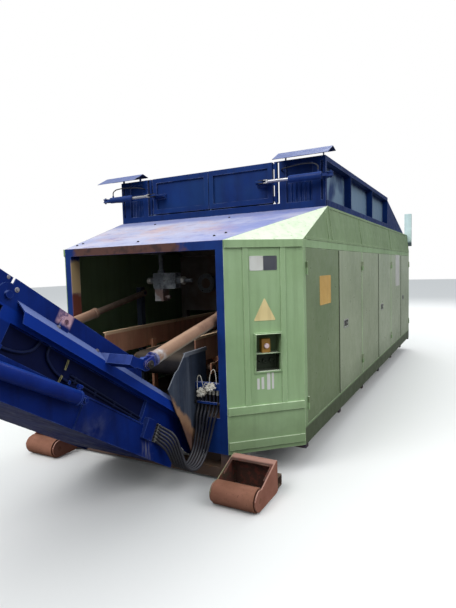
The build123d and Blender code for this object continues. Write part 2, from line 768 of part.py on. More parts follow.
def hinge_half(axis_y, side, z, bored):
    """Knuckle with its welded leaf; side is where the leaf lies."""
    x = BODY_HALF_WIDTH + HINGE_OFFSET
    near = axis_y + side * DOOR_GAP / 2
    far = near + side * HINGE_LEAF
    leaf = block((BODY_HALF_WIDTH, x), (min(near, far), max(near, far)), z)
    knuckle = bar_z(x, axis_y, z, HINGE_RADIUS) + leaf
    if bored:
        knuckle = knuckle - bar_z(x, axis_y, z, HINGE_PIN_RADIUS + SHAFT_FIT)
    return knuckle


def side_frame_right():
    run = (FRAME_START, FRAME_END)
    pieces = [
        block(SKIN_X, run, (BODY_BOTTOM, SKIRT_TOP)),
        block(FRAME_X, run, (SKIRT_TOP - FRAME_FLANGE, SKIRT_TOP)),
        block(SKIN_X, run, (BAND_LOW, WALL_TOP)),
        block(FRAME_X, run, (BAND_LOW, BAND_LOW + FRAME_FLANGE)),
        block(FRAME_X, run, (WALL_TOP - FRAME_FLANGE, WALL_TOP)),
    ]
    posts = [(FRAME_START, CORNER_POST_END), (END_POST_START, FRAME_END)]
    for post in hinge_posts():
        posts.append((post - HINGE_POST_WIDTH / 2, post + HINGE_POST_WIDTH / 2))
    for span in posts:
        pieces.append(tube_block(FRAME_X, span, (SKIRT_TOP, BAND_LOW), FRAME_FLANGE, "z"))
    for axis_y, side in hinge_lines():
        for z in HINGE_HEIGHTS:
            pieces.append(hinge_half(axis_y, -side, (z, z + HINGE_LENGTH), False))
            pieces.append(bar_z(BODY_HALF_WIDTH + HINGE_OFFSET, axis_y,
                                (z + HINGE_LENGTH, z + 2 * HINGE_LENGTH), HINGE_PIN_RADIUS))
    return joined(pieces)


def door(axis_y, side, edge_y, has_latch):
    """Folded steel door pan; edge_y is its free edge."""
    hinge_edge = axis_y + side * DOOR_GAP / 2
    y = (min(hinge_edge, edge_y), max(hinge_edge, edge_y))
    z = (SKIRT_TOP + DOOR_GAP, BAND_LOW - DOOR_GAP)
    outer = (BODY_HALF_WIDTH - DOOR_DEPTH, BODY_HALF_WIDTH)
    inner_y = (y[0] + DOOR_SKIN, y[1] - DOOR_SKIN)
    inner_z = (z[0] + DOOR_SKIN, z[1] - DOOR_SKIN)
    pan = block(outer, y, z) - block((outer[0], outer[1] - DOOR_SKIN), inner_y, inner_z)
    if has_latch:
        dish_y, dish_z = latch_spans(edge_y, side)
        dish_x = (BODY_HALF_WIDTH - DISH_DEPTH - DISH_WALL, BODY_HALF_WIDTH)
        shell = block(dish_x, (dish_y[0] - DISH_WALL, dish_y[1] + DISH_WALL),
                      (dish_z[0] - DISH_WALL, dish_z[1] + DISH_WALL))
        pan = pan + shell - block((dish_x[0] + DISH_WALL, dish_x[1]), dish_y, dish_z)
        pivot_x, pivot_z = latch_pivot(dish_z)
        pan = pan - pivot_hole(pivot_x, dish_y, pivot_z)
    pieces = [pan]
    for height in HINGE_HEIGHTS:
        low = height + HINGE_LENGTH + JOINT_GAP
        pieces.append(hinge_half(axis_y, side, (low, low + HINGE_LENGTH), True))
    return joined(pieces)


def pivot_hole(pivot_x, dish_y, pivot_z):
    """Hole right through both end walls of the latch dish."""
    span = (dish_y[0] - DISH_WALL, dish_y[1] + DISH_WALL)
    return bar_y(pivot_x, span, pivot_z, TRUNNION_RADIUS + SHAFT_FIT)


def latch_spans(edge_y, side):
    middle = edge_y - side * LATCH_SETBACK
    return ((middle - DISH_LENGTH / 2, middle + DISH_LENGTH / 2),
            (LATCH_HEIGHT - DISH_HEIGHT / 2, LATCH_HEIGHT + DISH_HEIGHT / 2))


def latch_pivot(dish_z):
    return (BODY_HALF_WIDTH - DISH_DEPTH / 2, dish_z[1] - 2 * PADDLE_CLEAR)


def latch(edge_y, side):
    dish_y, dish_z = latch_spans(edge_y, side)
    pivot_x, pivot_z = latch_pivot(dish_z)
    y = (dish_y[0] + PADDLE_CLEAR / 2, dish_y[1] - PADDLE_CLEAR / 2)
    face_x = BODY_HALF_WIDTH - PADDLE_THICK / 2
    plate = block((face_x - PADDLE_THICK, face_x), y, (dish_z[0] + PADDLE_CLEAR, pivot_z))
    hub = bar_y(pivot_x, y, pivot_z, PADDLE_THICK)
    pin = bar_y(pivot_x, (dish_y[0] - DISH_WALL, dish_y[1] + DISH_WALL), pivot_z, TRUNNION_RADIUS)
    return joined([plate, hub, pin])


def side_wall_left():
    x = (-SKIN_X[1], -SKIN_X[0])
    run = (FRAME_START, FRAME_END)
    top = (-FRAME_X[1], -FRAME_X[0])
    pieces = [
        block(x, run, (BODY_BOTTOM, WALL_TOP)),
        block(top, run, (WALL_TOP - FRAME_FLANGE, WALL_TOP)),
        block(top, run, (BODY_BOTTOM, BODY_BOTTOM + FRAME_FLANGE)),
    ]
    for middle in [CORNER_POST_END] + hinge_posts() + door_meetings() + [END_POST_START]:
        pieces.append(block((-BODY_HALF_WIDTH - RIB_PROUD, -BODY_HALF_WIDTH),
                            (middle - RIB_WIDTH / 2, middle + RIB_WIDTH / 2), (SKIRT_TOP, BAND_LOW)))
    return joined(pieces)


STRIP_LENGTH = math.hypot(BODY_HALF_WIDTH - ROOF_EDGE_HALF, ROOF_HEIGHT - WALL_TOP)
STRIP_PLANE = Plane(origin=(BODY_HALF_WIDTH, 0, WALL_TOP), x_dir=(0, 1, 0),
                    z_dir=(ROOF_HEIGHT - WALL_TOP, 0, BODY_HALF_WIDTH - ROOF_EDGE_HALF))


def on_strip(y, up):
    sketch = Pos(sum(y) / 2, sum(up) / 2) * Rectangle(y[1] - y[0], up[1] - up[0])
    return extrude(STRIP_PLANE * sketch, amount=STRIP_BAR_PROUD, dir=STRIP_PLANE.z_dir)


def upper_band():
    """Leaning strip above the side wall with the corner facet that meets the roof."""
    strip = leaning_plate([
        (BODY_HALF_WIDTH, CHAMFER_DEPTH, WALL_TOP), (BODY_HALF_WIDTH, FRAME_END, WALL_TOP),
        (ROOF_EDGE_HALF, FRAME_END, ROOF_HEIGHT), (ROOF_EDGE_HALF, HOPPER_FRONT, ROOF_HEIGHT),
    ], ROOF_SHEET)
    facet = leaning_plate([
        (PORTAL_HALF, 0, WALL_TOP), (BODY_HALF_WIDTH, CHAMFER_DEPTH, WALL_TOP),
        (ROOF_EDGE_HALF, HOPPER_FRONT, ROOF_HEIGHT),
    ], ROOF_SHEET)
    top = STRIP_LENGTH - STRIP_BAR
    lean = (HOPPER_FRONT - CHAMFER_DEPTH) / STRIP_LENGTH
    bars = [
        on_strip((CHAMFER_DEPTH + 3 * STRIP_BAR, FRAME_END), (BOX_WALL, STRIP_BAR)),
        on_strip((HOPPER_FRONT, FRAME_END), (top, STRIP_LENGTH - BOX_WALL)),
    ]
    last = FRAME_END - STRIP_BAR - FRAME_FLANGE
    places = [HOPPER_FRONT - VENT_WIDTH, HOPPER_FRONT] + hinge_posts() + [last]
    for place in places:
        height = min(top, (place - CHAMFER_DEPTH) / lean - STRIP_BAR)
        bars.append(on_strip((place, place + STRIP_BAR), (STRIP_BAR, height)))
    whole = joined([strip, facet] + bars)
    far = 2 * BODY_HALF_WIDTH
    below = block((0, far), (-far, BODY_LENGTH + far), (0, WALL_TOP))
    above = block((0, far), (-far, BODY_LENGTH + far), (ROOF_HEIGHT, ROOF_HEIGHT + WALL_TOP))
    return whole - below - above


DECK_HALF = ROOF_EDGE_HALF - ROOF_SHEET - 1


def roof():
    front = PORTAL_HALF - ROOF_SIDE_GAP
    slope = leaning_plate([
        (-front, 0, WALL_TOP), (front, 0, WALL_TOP),
        (DECK_HALF, HOPPER_FRONT, ROOF_HEIGHT), (-DECK_HALF, HOPPER_FRONT, ROOF_HEIGHT),
    ], ROOF_SHEET)
    slope = slope - block((-BODY_HALF_WIDTH, BODY_HALF_WIDTH), (-POST_DEPTH, 2 * POST_DEPTH), (0, WALL_TOP))
    deck = block((-DECK_HALF, DECK_HALF), (HOPPER_FRONT, FRAME_END), (ROOF_HEIGHT - ROOF_SHEET, ROOF_HEIGHT))
    mouth = block((-MOUTH_HALF, MOUTH_HALF), (MOUTH_START, MOUTH_END), (0, HOPPER_TOP))
    return slope + deck - mouth


def rear_wall():
    outline = [
        (-BODY_HALF_WIDTH, BODY_BOTTOM), (BODY_HALF_WIDTH, BODY_BOTTOM), (BODY_HALF_WIDTH, WALL_TOP),
        (ROOF_EDGE_HALF, ROOF_HEIGHT), (-ROOF_EDGE_HALF, ROOF_HEIGHT), (-BODY_HALF_WIDTH, WALL_TOP),
    ]
    wall = front_plate(outline, (FRAME_END, BODY_LENGTH))
    for index in range(LOUVRE_COUNT):
        z = LOUVRE_START + index * LOUVRE_PITCH
        slot_y = (FRAME_END - LOUVRE_HEIGHT, BODY_LENGTH + LOUVRE_HEIGHT)
        wall = wall - block((-LOUVRE_HALF, LOUVRE_HALF), slot_y, (z, z + LOUVRE_HEIGHT))
        hood = side_plate([
            (BODY_LENGTH, z + LOUVRE_HEIGHT), (BODY_LENGTH, z + LOUVRE_HEIGHT + ROOF_SHEET),
            (BODY_LENGTH + LOUVRE_HOOD, z + LOUVRE_HEIGHT / 2), (BODY_LENGTH + LOUVRE_HOOD, z),
        ], (-LOUVRE_HALF, LOUVRE_HALF))
        wall = wall + hood
    return wall


def exhaust_stack():
    """Square duct standing off the rear wall, on a foot bolted to it."""
    y = (BODY_LENGTH + STACK_SPACE, BODY_LENGTH + STACK_SPACE + STACK_DEPTH)
    outer_x = BODY_HALF_WIDTH + STACK_OVERHANG
    x = (outer_x - STACK_WIDTH, outer_x)
    bottom = ROOF_HEIGHT - STACK_DROP
    duct = tube_block(x, y, (bottom, ROOF_HEIGHT + STACK_RISE), BOX_WALL, "z")
    foot_z = (WALL_TOP - STACK_FOOT_DROP, bottom)
    foot = block((x[0] + SHEET, x[0] + STACK_WIDTH / 2), (BODY_LENGTH, y[1]), foot_z)
    return duct + foot


def hopper_side_walls():
    plate_x = HOPPER_HALF - HOPPER_INSET
    start = HOPPER_FRONT + HOPPER_FRONT_DEPTH
    run = (start, HOPPER_END)
    outer = (HOPPER_HALF - HOPPER_SHEET, HOPPER_HALF)
    depth = (plate_x, HOPPER_HALF)
    rail_top = ROOF_HEIGHT + HOPPER_RAIL
    cap_low = HOPPER_TOP - HOPPER_CAP
    pieces = [
        block((plate_x - HOPPER_SHEET, plate_x), run, (ROOF_HEIGHT, HOPPER_TOP)),
        block(outer, run, (ROOF_HEIGHT, rail_top)),
        block(depth, run, (rail_top - HOPPER_SHEET, rail_top)),
        block(outer, run, (cap_low, HOPPER_TOP)),
        block(depth, run, (HOPPER_TOP - HOPPER_SHEET, HOPPER_TOP)),
        block(depth, run, (cap_low, cap_low + HOPPER_SHEET)),
    ]
    rib = 2 * HOPPER_SHEET
    place = HOPPER_END - rib
    while place > start:
        pieces.append(block(depth, (place, place + rib), (rail_top, cap_low)))
        place = place - HOPPER_RIB_PITCH
    return both_sides(joined(pieces))


def hopper_front_side(hinge_x, base_x):
    """One side panel of the hopper's front: posts, slats, gate pin and cylinder ears."""
    y = (HOPPER_FRONT, HOPPER_FRONT + HOPPER_FRONT_DEPTH)
    skin = (HOPPER_FRONT + HOPPER_FRONT_DEPTH / 2, HOPPER_FRONT + HOPPER_FRONT_DEPTH / 2 + HOPPER_SHEET)
    rail_top = ROOF_HEIGHT + HOPPER_RAIL
    cap_low = HOPPER_TOP - HOPPER_CAP
    corner = (HOPPER_HALF - FRAME_DEPTH / 2, HOPPER_HALF)
    gate_hub = GATE_PIN_RADIUS + SHEET
    post = (hinge_x + GATE_POST_GAP, hinge_x + GATE_POST_GAP + GATE_POST_WIDTH)
    mullion = (HOPPER_HALF - HOPPER_CORNER - SIDE_MULLION, HOPPER_HALF - HOPPER_CORNER)
    slat_top = cap_low - SLAT_TOP_GAP
    pieces = [
        block(post, y, (rail_top, HOPPER_TOP)),
        block(corner, y, (rail_top, HOPPER_TOP)),
        block((post[1], corner[0]), y, (cap_low, HOPPER_TOP)),
        block(mullion, y, (rail_top, cap_low)),
        block((post[1], corner[0]), skin, (rail_top, cap_low)),
        block((post[1], mullion[0]), (skin[0] - HOPPER_SHEET, skin[0]), (slat_top, cap_low)),
        bar_z(hinge_x, GATE_HINGE_Y, (rail_top - POST_WALL, HOPPER_TOP - SHEET), GATE_PIN_RADIUS),
        block((hinge_x - gate_hub, post[0]), (GATE_HINGE_Y - gate_hub, GATE_HINGE_Y + gate_hub),
              (HOPPER_TOP - SHEET, HOPPER_TOP)),
    ]
    place = mullion[0] - SLAT_PITCH
    while place > post[1]:
        pieces.append(plan_plate([
            (place, skin[0]), (place + SLAT_WIDTH, skin[0]), (place + SLAT_WIDTH / 2, y[0] + HOPPER_SHEET),
        ], (rail_top, slat_top)))
        place = place - SLAT_PITCH
    bracket_y = GATE_CYL_Y - FRAME_DEPTH / 2
    shoulder = (base_x - 2.2 * GATE_BARREL_RADIUS, GATE_CYL_Y + 1.2 * GATE_BARREL_RADIUS)
    for side in (-1, 1):
        near = GATE_CYL_Z + side * (GATE_LUG / 2 + FORK_CHEEK / 2)
        far = near + side * FORK_CHEEK
        pieces.append(plan_plate([
            (corner[0], HOPPER_FRONT), (HOPPER_HALF, HOPPER_FRONT), (base_x + FRAME_DEPTH / 2, GATE_CYL_Y),
            (base_x + FRAME_DEPTH / 4, bracket_y), (base_x - FRAME_DEPTH / 2, bracket_y), shoulder,
        ], (min(near, far), max(near, far))))
    pin_z = (GATE_CYL_Z - 2 * GATE_LUG, GATE_CYL_Z + 2 * GATE_LUG)
    pieces.append(bar_z(base_x, GATE_CYL_Y, pin_z, CYL_PIN_RADIUS))
    return joined(pieces)


def hopper_front():
    y = (HOPPER_FRONT, HOPPER_FRONT + HOPPER_FRONT_DEPTH)
    rail_top = ROOF_HEIGHT + HOPPER_RAIL
    rail = tube_block((-HOPPER_HALF, HOPPER_HALF), y, (ROOF_HEIGHT, rail_top), POST_WALL, "x")
    right = hopper_front_side(GATE_HINGE_X + GATE_CENTRE, GATE_BASE_X + GATE_CENTRE)
    left = hopper_front_side(GATE_HINGE_X - GATE_CENTRE, GATE_BASE_X - GATE_CENTRE)
    return joined([rail, right, mirrored(left)])


def gate_pair(shape):
    """Right and left copies of a shape modelled from the gates' middle line."""
    return (Pos(GATE_CENTRE, 0, 0) * shape, Pos(GATE_CENTRE, 0, 0) * mirrored(shape))


def hopper_rear_hood():
    wall_end = HOPPER_END + HOPPER_SHEET
    top = HOPPER_TOP - HOPPER_CAP
    outer = side_plate([(wall_end, ROOF_HEIGHT), (wall_end, top), (HOOD_END, ROOF_HEIGHT + 2 * HOPPER_SHEET),
                        (HOOD_END, ROOF_HEIGHT)], (-HOPPER_HALF, HOPPER_HALF))
    inner_end = HOOD_END - HOPPER_SHEET
    inner = side_plate([
        (wall_end, 0), (wall_end, top - HOPPER_SHEET), (inner_end, ROOF_HEIGHT), (inner_end, 0),
    ], (-HOPPER_HALF + HOPPER_SHEET, HOPPER_HALF - HOPPER_SHEET))
    wall = block((-HOPPER_HALF, HOPPER_HALF), (HOPPER_END, wall_end), (ROOF_HEIGHT, HOPPER_TOP))
    return wall + (outer - inner)


def gate_linkage():
    return linkage((GATE_HINGE_X, GATE_HINGE_Y), (GATE_BASE_X, GATE_CYL_Y), (GATE_PIN_X, GATE_CYL_Y),
                   0, math.radians(GATE_SWING))


def gate():
    """Gate leaf with its hinge tube and the slotted lug of its cylinder."""
    y = (HOPPER_FRONT, HOPPER_FRONT + HOPPER_FRONT_DEPTH)
    skin = (HOPPER_FRONT + HOPPER_FRONT_DEPTH / 2, HOPPER_FRONT + HOPPER_FRONT_DEPTH / 2 + HOPPER_SHEET)
    x = (GATE_MIDDLE, GATE_EDGE)
    z = (GATE_LOW, HOPPER_TOP)
    window = ((x[0] + GATE_FRAME, x[1] - GATE_FRAME), (z[0] + GATE_FRAME, z[1] - GATE_FRAME))
    frame = block(x, y, z) - block(window[0], y, window[1])
    sheet = block(window[0], skin, window[1])
    tube_z = (GATE_LOW, HOPPER_TOP - SHEET - JOINT_GAP)
    tube = bar_z(GATE_HINGE_X, GATE_HINGE_Y, tube_z, GATE_TUBE_RADIUS)
    pieces = [frame, sheet, tube]
    for share in (0.1, 0.5, 0.9):
        middle = z[0] + share * (z[1] - z[0])
        pieces.append(block((GATE_EDGE, GATE_HINGE_X), (GATE_HINGE_Y - SHEET, GATE_HINGE_Y + SHEET),
                            (middle - GATE_FRAME / 2, middle + GATE_FRAME / 2)))
    path = gate_linkage()[2]
    slot = slot_outline(path, CYL_PIN_RADIUS + PIN_PLAY)
    lug_back = plan_plate([
        (GATE_PIN_X - 1.6 * GATE_FRAME, HOPPER_FRONT), (GATE_EDGE - JOINT_GAP, HOPPER_FRONT),
        (GATE_PIN_X + 3 * CYL_PIN_RADIUS, GATE_CYL_Y), (GATE_PIN_X - GATE_FRAME, GATE_CYL_Y),
    ], (GATE_CYL_Z - GATE_LUG / 2, GATE_CYL_Z + GATE_LUG / 2))
    lug_nose = extrude(Pos(0, 0, GATE_CYL_Z - GATE_LUG / 2) * slot_outline(path, GATE_NOSE_RADIUS),
                       amount=GATE_LUG, dir=(0, 0, 1))
    cut = extrude(Pos(0, 0, GATE_CYL_Z - GATE_LUG) * slot, amount=2 * GATE_LUG, dir=(0, 0, 1))
    pad = block((GATE_PIN_X - 1.6 * GATE_FRAME, GATE_EDGE - JOINT_GAP), (HOPPER_FRONT, skin[0]),
                (GATE_CYL_Z - GATE_FRAME / 2, GATE_CYL_Z + GATE_FRAME / 2))
    body = joined(pieces + [lug_back, lug_nose, pad]) - cut
    bore_z = (ROOF_HEIGHT, HOPPER_TOP + SHEET)
    return body - bar_z(GATE_HINGE_X, GATE_HINGE_Y, bore_z, GATE_PIN_RADIUS + SHAFT_FIT)


GATE_NOSE_RADIUS = 2.6 * CYL_PIN_RADIUS


def gate_fork_end():
    """Inner face of the rod fork's root."""
    return GATE_PIN_X + fork_depth(gate_linkage()[2], GATE_NOSE_RADIUS)


def gate_travel():
    """Distance that the rod goes into its barrel while the gate opens."""
    return -gate_linkage()[0] * math.radians(GATE_SWING)


def gate_barrel():
    """Barrel from its base eye towards the gate, as long as the opened gate leaves room for."""
    eye_half = GATE_LUG / 2 + FORK_CHEEK / 2 - JOINT_GAP
    eye_z = (GATE_CYL_Z - eye_half, GATE_CYL_Z + eye_half)
    start = GATE_BASE_X - 2.6 * GATE_BARREL_RADIUS
    end = gate_fork_end() + GATE_LUG + gate_travel() + GATE_LUG + FORK_CLEARANCE
    eye = bar_z(GATE_BASE_X, GATE_CYL_Y, eye_z, 2 * CYL_PIN_RADIUS)
    neck = block((start, GATE_BASE_X), (GATE_CYL_Y - CYL_PIN_RADIUS, GATE_CYL_Y + CYL_PIN_RADIUS), eye_z)
    body = bar_x((end, start), GATE_CYL_Y, GATE_CYL_Z, GATE_BARREL_RADIUS)
    gland = bar_x((end - GATE_LUG, end), GATE_CYL_Y, GATE_CYL_Z, GATE_BARREL_RADIUS - SHEET)
    port = bar_z(start - GATE_BARREL_RADIUS, GATE_CYL_Y, (GATE_CYL_Z, GATE_CYL_Z + 1.5 * GATE_BARREL_RADIUS),
                 CYL_PIN_RADIUS)
    solid = joined([eye, neck, body, gland, port])
    solid = solid - bar_z(GATE_BASE_X, GATE_CYL_Y, (GATE_CYL_Z - GATE_LUG * 2, GATE_CYL_Z + GATE_LUG * 2),
                          CYL_PIN_RADIUS + SHAFT_FIT)
    bore_x = (end - 2 * GATE_LUG, start - SHEET)
    return solid - bar_x(bore_x, GATE_CYL_Y, GATE_CYL_Z, GATE_ROD_RADIUS + SHAFT_FIT)


def gate_rod():
    """Chrome rod with the fork and pin that carry the gate's lug."""
    low = GATE_CYL_Z - GATE_LUG / 2 - PIN_PLAY
    high = GATE_CYL_Z + GATE_LUG / 2 + PIN_PLAY
    fork_end = gate_fork_end()
    fork_y = (GATE_CYL_Y - 2 * CYL_PIN_RADIUS, GATE_CYL_Y + 2 * CYL_PIN_RADIUS)
    pieces = []
    for z in ((low - FORK_CHEEK, low), (high, high + FORK_CHEEK)):
        pieces.append(bar_z(GATE_PIN_X, GATE_CYL_Y, z, 2 * CYL_PIN_RADIUS))
        pieces.append(block((GATE_PIN_X, fork_end + GATE_LUG), fork_y, z))
    pieces.append(block((fork_end, fork_end + GATE_LUG), fork_y, (low - FORK_CHEEK, high + FORK_CHEEK)))
    pin_z = (low - 1.5 * FORK_CHEEK, high + 1.5 * FORK_CHEEK)
    pieces.append(bar_z(GATE_PIN_X, GATE_CYL_Y, pin_z, CYL_PIN_RADIUS))
    bore_bottom = GATE_BASE_X - 2.6 * GATE_BARREL_RADIUS - SHEET
    rod_end = bore_bottom - gate_travel() - FORK_CLEARANCE
    pieces.append(bar_x((fork_end, rod_end), GATE_CYL_Y, GATE_CYL_Z, GATE_ROD_RADIUS))
    return joined(pieces)


def canopy(start):
    """Gable cover over a gate cylinder, open at its ends, on two stays."""
    end = start + CANOPY_LENGTH
    profile = [(CANOPY_FRONT, CANOPY_FRONT_Z), (CANOPY_RIDGE, CANOPY_RIDGE_Z), (CANOPY_REAR, CANOPY_REAR_Z)]
    under = [(y, z - CANOPY_SHEET) for y, z in reversed(profile)]
    pieces = [side_plate(profile + under, (start, end))]
    front = HOPPER_FRONT + SHEET
    back = HOPPER_FRONT + HOPPER_FRONT_DEPTH - SHEET
    slack = (CANOPY_RIDGE_Z - CANOPY_REAR_Z) / (CANOPY_REAR - CANOPY_RIDGE)
    front_top = CANOPY_RIDGE_Z - slack * (front - CANOPY_RIDGE) - CANOPY_SHEET / 2
    back_top = CANOPY_RIDGE_Z - slack * (back - CANOPY_RIDGE) - CANOPY_SHEET / 2
    for x in (start + CANOPY_STAY_INSET, HOPPER_HALF - FRAME_DEPTH / 2):
        pieces.append(side_plate([
            (front, HOPPER_TOP), (back, HOPPER_TOP), (back, back_top), (front, front_top),
        ], (x, x + SHEET)))
    return joined(pieces)


def cylinder_canopies():
    left = mirrored(canopy(CANOPY_START + LEFT_CANOPY_SHIFT))
    return joined([canopy(CANOPY_START), left])


def gate_hose(hinge_x, base_x):
    """Short hose from the hopper post in a loop down to the barrel port."""
    port_x = base_x - 3.6 * GATE_BARREL_RADIUS
    top_z = GATE_CYL_Z + 1.5 * GATE_BARREL_RADIUS
    post_x = hinge_x + GATE_POST_GAP + GATE_POST_WIDTH / 2
    return hose_tube([
        (post_x, HOPPER_FRONT, top_z + FRAME_DEPTH), (post_x, HOPPER_FRONT - 30, top_z + FRAME_DEPTH),
        (post_x + 30, HOPPER_FRONT - 80, top_z + FRAME_DEPTH + 8),
        (port_x - 150, GATE_CYL_Y + 12, top_z + 75), (port_x - 40, GATE_CYL_Y + 4, top_z + 66),
        (port_x, GATE_CYL_Y, top_z + 40), (port_x, GATE_CYL_Y, top_z),
    ], GATE_HOSE_RADIUS)


def gate_hoses():
    right = gate_hose(GATE_HINGE_X + GATE_CENTRE, GATE_BASE_X + GATE_CENTRE)
    left = gate_hose(GATE_HINGE_X - GATE_CENTRE, GATE_BASE_X - GATE_CENTRE)
    return joined([right, mirrored(left)])


def hose_radii(points):
    """Large arcs: each as big as its two runs allow."""
    radii = []
    for before, here, after in zip(points, points[1:], points[2:]):
        first = Vector(*here) - Vector(*before)
        second = Vector(*after) - Vector(*here)
        turn = math.radians(first.get_angle(second))
        radii.append(0.45 * min(first.length, second.length) / math.tan(turn / 2))
    return radii


def hose_tube(points, radius):
    path = FilletPolyline(*points, radius=hose_radii(points))
    start = Plane(origin=path @ 0, z_dir=path % 0)
    return sweep(start * Circle(radius), path=path)


def roller_bracket(centre):
    """Bolted bracket of one ground roller: two cheeks with rounded feet, a top plate and front lips."""
    middle, axle_y = centre
    half = ROLLER_LENGTH / 2
    inner = (middle - half - CHEEK_GAP - CHEEK, middle - half - CHEEK_GAP)
    outer = (middle + half + CHEEK_GAP, middle + half + CHEEK_GAP + CHEEK)
    whole = (inner[0], outer[1])
    nose = ROLLER_RADIUS - CHEEK
    shoulder = -2 * CHEEK
    toe = ROLLER_RADIUS + nose / 3
    outline = [(0, BEAM_BOTTOM), (0, BRACKET_TOP), (shoulder, BRACKET_TOP), (axle_y - nose, toe),
               (axle_y - nose, ROLLER_RADIUS), (axle_y, CHEEK), (shoulder, CHEEK)]
    pieces = []
    for x in (inner, outer):
        pieces.append(side_plate(outline, x) + bar_x(x, axle_y, ROLLER_RADIUS, nose))
    slope = (BRACKET_TOP - toe) / (nose - axle_y + shoulder)
    lip_end = axle_y + 1.3 * ROLLER_RADIUS
    lip_z = BRACKET_TOP + slope * (lip_end - shoulder)
    lip = [(shoulder, BRACKET_TOP), (lip_end, lip_z)]
    lip = lip + [(y, z - CHEEK) for y, z in reversed(lip)]
    lip_end_inner = inner[1] + CHEEK_LIP
    lip_start_outer = outer[0] - CHEEK_LIP
    pieces.append(side_plate(lip, (inner[0], lip_end_inner)))
    pieces.append(side_plate(lip, (lip_start_outer, outer[1])))
    pieces.append(block(whole, (-CHEEK, 0), (BEAM_BOTTOM, BRACKET_TOP)))
    plate_end = shoulder - 5 * CHEEK
    plate_z = BRACKET_TOP + slope * (plate_end - shoulder)
    pieces.append(side_plate([
        (0, BRACKET_TOP), (shoulder, BRACKET_TOP), (plate_end, plate_z), (plate_end, plate_z - CHEEK / 2),
        (shoulder, BRACKET_TOP - CHEEK), (0, BRACKET_TOP - CHEEK),
    ], whole))
    axle = bar_x(whole, axle_y, ROLLER_RADIUS, ROLLER_AXLE + SHAFT_FIT)
    return joined(pieces) - axle


def roller_brackets():
    return joined([roller_bracket(RIGHT_ROLLER), mirrored(roller_bracket(LEFT_ROLLER))])


def roller(centre):
    """Tube with set-in end discs on a through axle."""
    middle, y = centre
    half = ROLLER_LENGTH / 2
    tube_x = (middle - half, middle + half)
    tube = bar_x(tube_x, y, ROLLER_RADIUS, ROLLER_RADIUS)
    tube = tube - bar_x(tube_x, y, ROLLER_RADIUS, ROLLER_RADIUS - ROLLER_WALL)
    pieces = [tube]
    for x in (tube_x[0] + ROLLER_WALL, tube_x[1] - 2 * ROLLER_WALL):
        pieces.append(bar_x((x, x + ROLLER_WALL), y, ROLLER_RADIUS, ROLLER_RADIUS - ROLLER_WALL))
    axle = half + CHEEK_GAP + CHEEK
    pieces.append(bar_x((middle - axle, middle + axle), y, ROLLER_RADIUS, ROLLER_AXLE))
    return joined(pieces)


def crusher_box():
    x = (-CHAMBER_HALF - CHAMBER_WALL, CHAMBER_HALF + CHAMBER_WALL)
    y = (CHAMBER_START - CHAMBER_WALL, CHAMBER_END + CHAMBER_WALL)
    height = (CHAMBER_LOW, CHAMBER_TOP)
    walls = block(x, y, height) - block((-CHAMBER_HALF, CHAMBER_HALF), (CHAMBER_START, CHAMBER_END), height)
    for side in (-1, 1):
        walls = walls - bar_y(side * ROTOR_OFFSET, y, ROTOR_Z, JOURNAL_RADIUS + SHAFT_FIT)
    middle_y = (MOUTH_START + MOUTH_END) / 2
    low_middle = (CHAMBER_START + CHAMBER_END) / 2
    funnel_top = ROOF_HEIGHT - ROOF_SHEET

    def frustum(grow):
        upper = Pos(0, middle_y, funnel_top) * Rectangle(2 * (MOUTH_HALF + grow),
                                                         MOUTH_END - MOUTH_START + 2 * grow)
        lower = Pos(0, low_middle, CHAMBER_TOP) * Rectangle(2 * (CHAMBER_HALF + grow),
                                                            CHAMBER_END - CHAMBER_START + 2 * grow)
        return loft([lower, upper])

    funnel = frustum(FUNNEL_WALL) - frustum(0)
    legs = []
    for leg_y in (y[0], y[1] - LEG):
        leg = tube_block((x[1], x[1] + LEG), (leg_y, leg_y + LEG), (BODY_BOTTOM + FLOOR_SHEET, CHAMBER_TOP),
                         POST_WALL, "z")
        legs.append(both_sides(leg))
    ribs = []
    for z in (CHAMBER_LOW, (CHAMBER_LOW + CHAMBER_TOP) / 2, CHAMBER_TOP - CHAMBER_RIB):
        rib = block((x[1], x[1] + CHAMBER_RIB_DEPTH), y, (z, z + CHAMBER_RIB))
        ribs.append(both_sides(rib))
    return joined([walls, funnel] + legs + ribs)


def rotor_disc(plane, turn):
    """Twelve-sided knife disc with hooked teeth, lying on a plane square to the shaft."""
    blank = RegularPolygon(DISC_RADIUS, DISC_SIDES)
    tooth = Polygon((DISC_RADIUS * 0.35, DISC_RADIUS * 0.85), (TOOTH_RADIUS * 0.42, TOOTH_RADIUS * 0.9),
                    (DISC_RADIUS * 0.75, DISC_RADIUS * 0.5), (0, DISC_RADIUS * 0.5), align=None)
    disc = extrude(plane * Rot(0, 0, turn) * blank, amount=DISC_THICK, dir=(0, 1, 0))
    for index in range(TOOTH_COUNT):
        angle = turn + 360 / TOOTH_COUNT * index
        disc = disc + extrude(plane * Rot(0, 0, angle) * tooth, amount=DISC_THICK, dir=(0, 1, 0))
    return disc


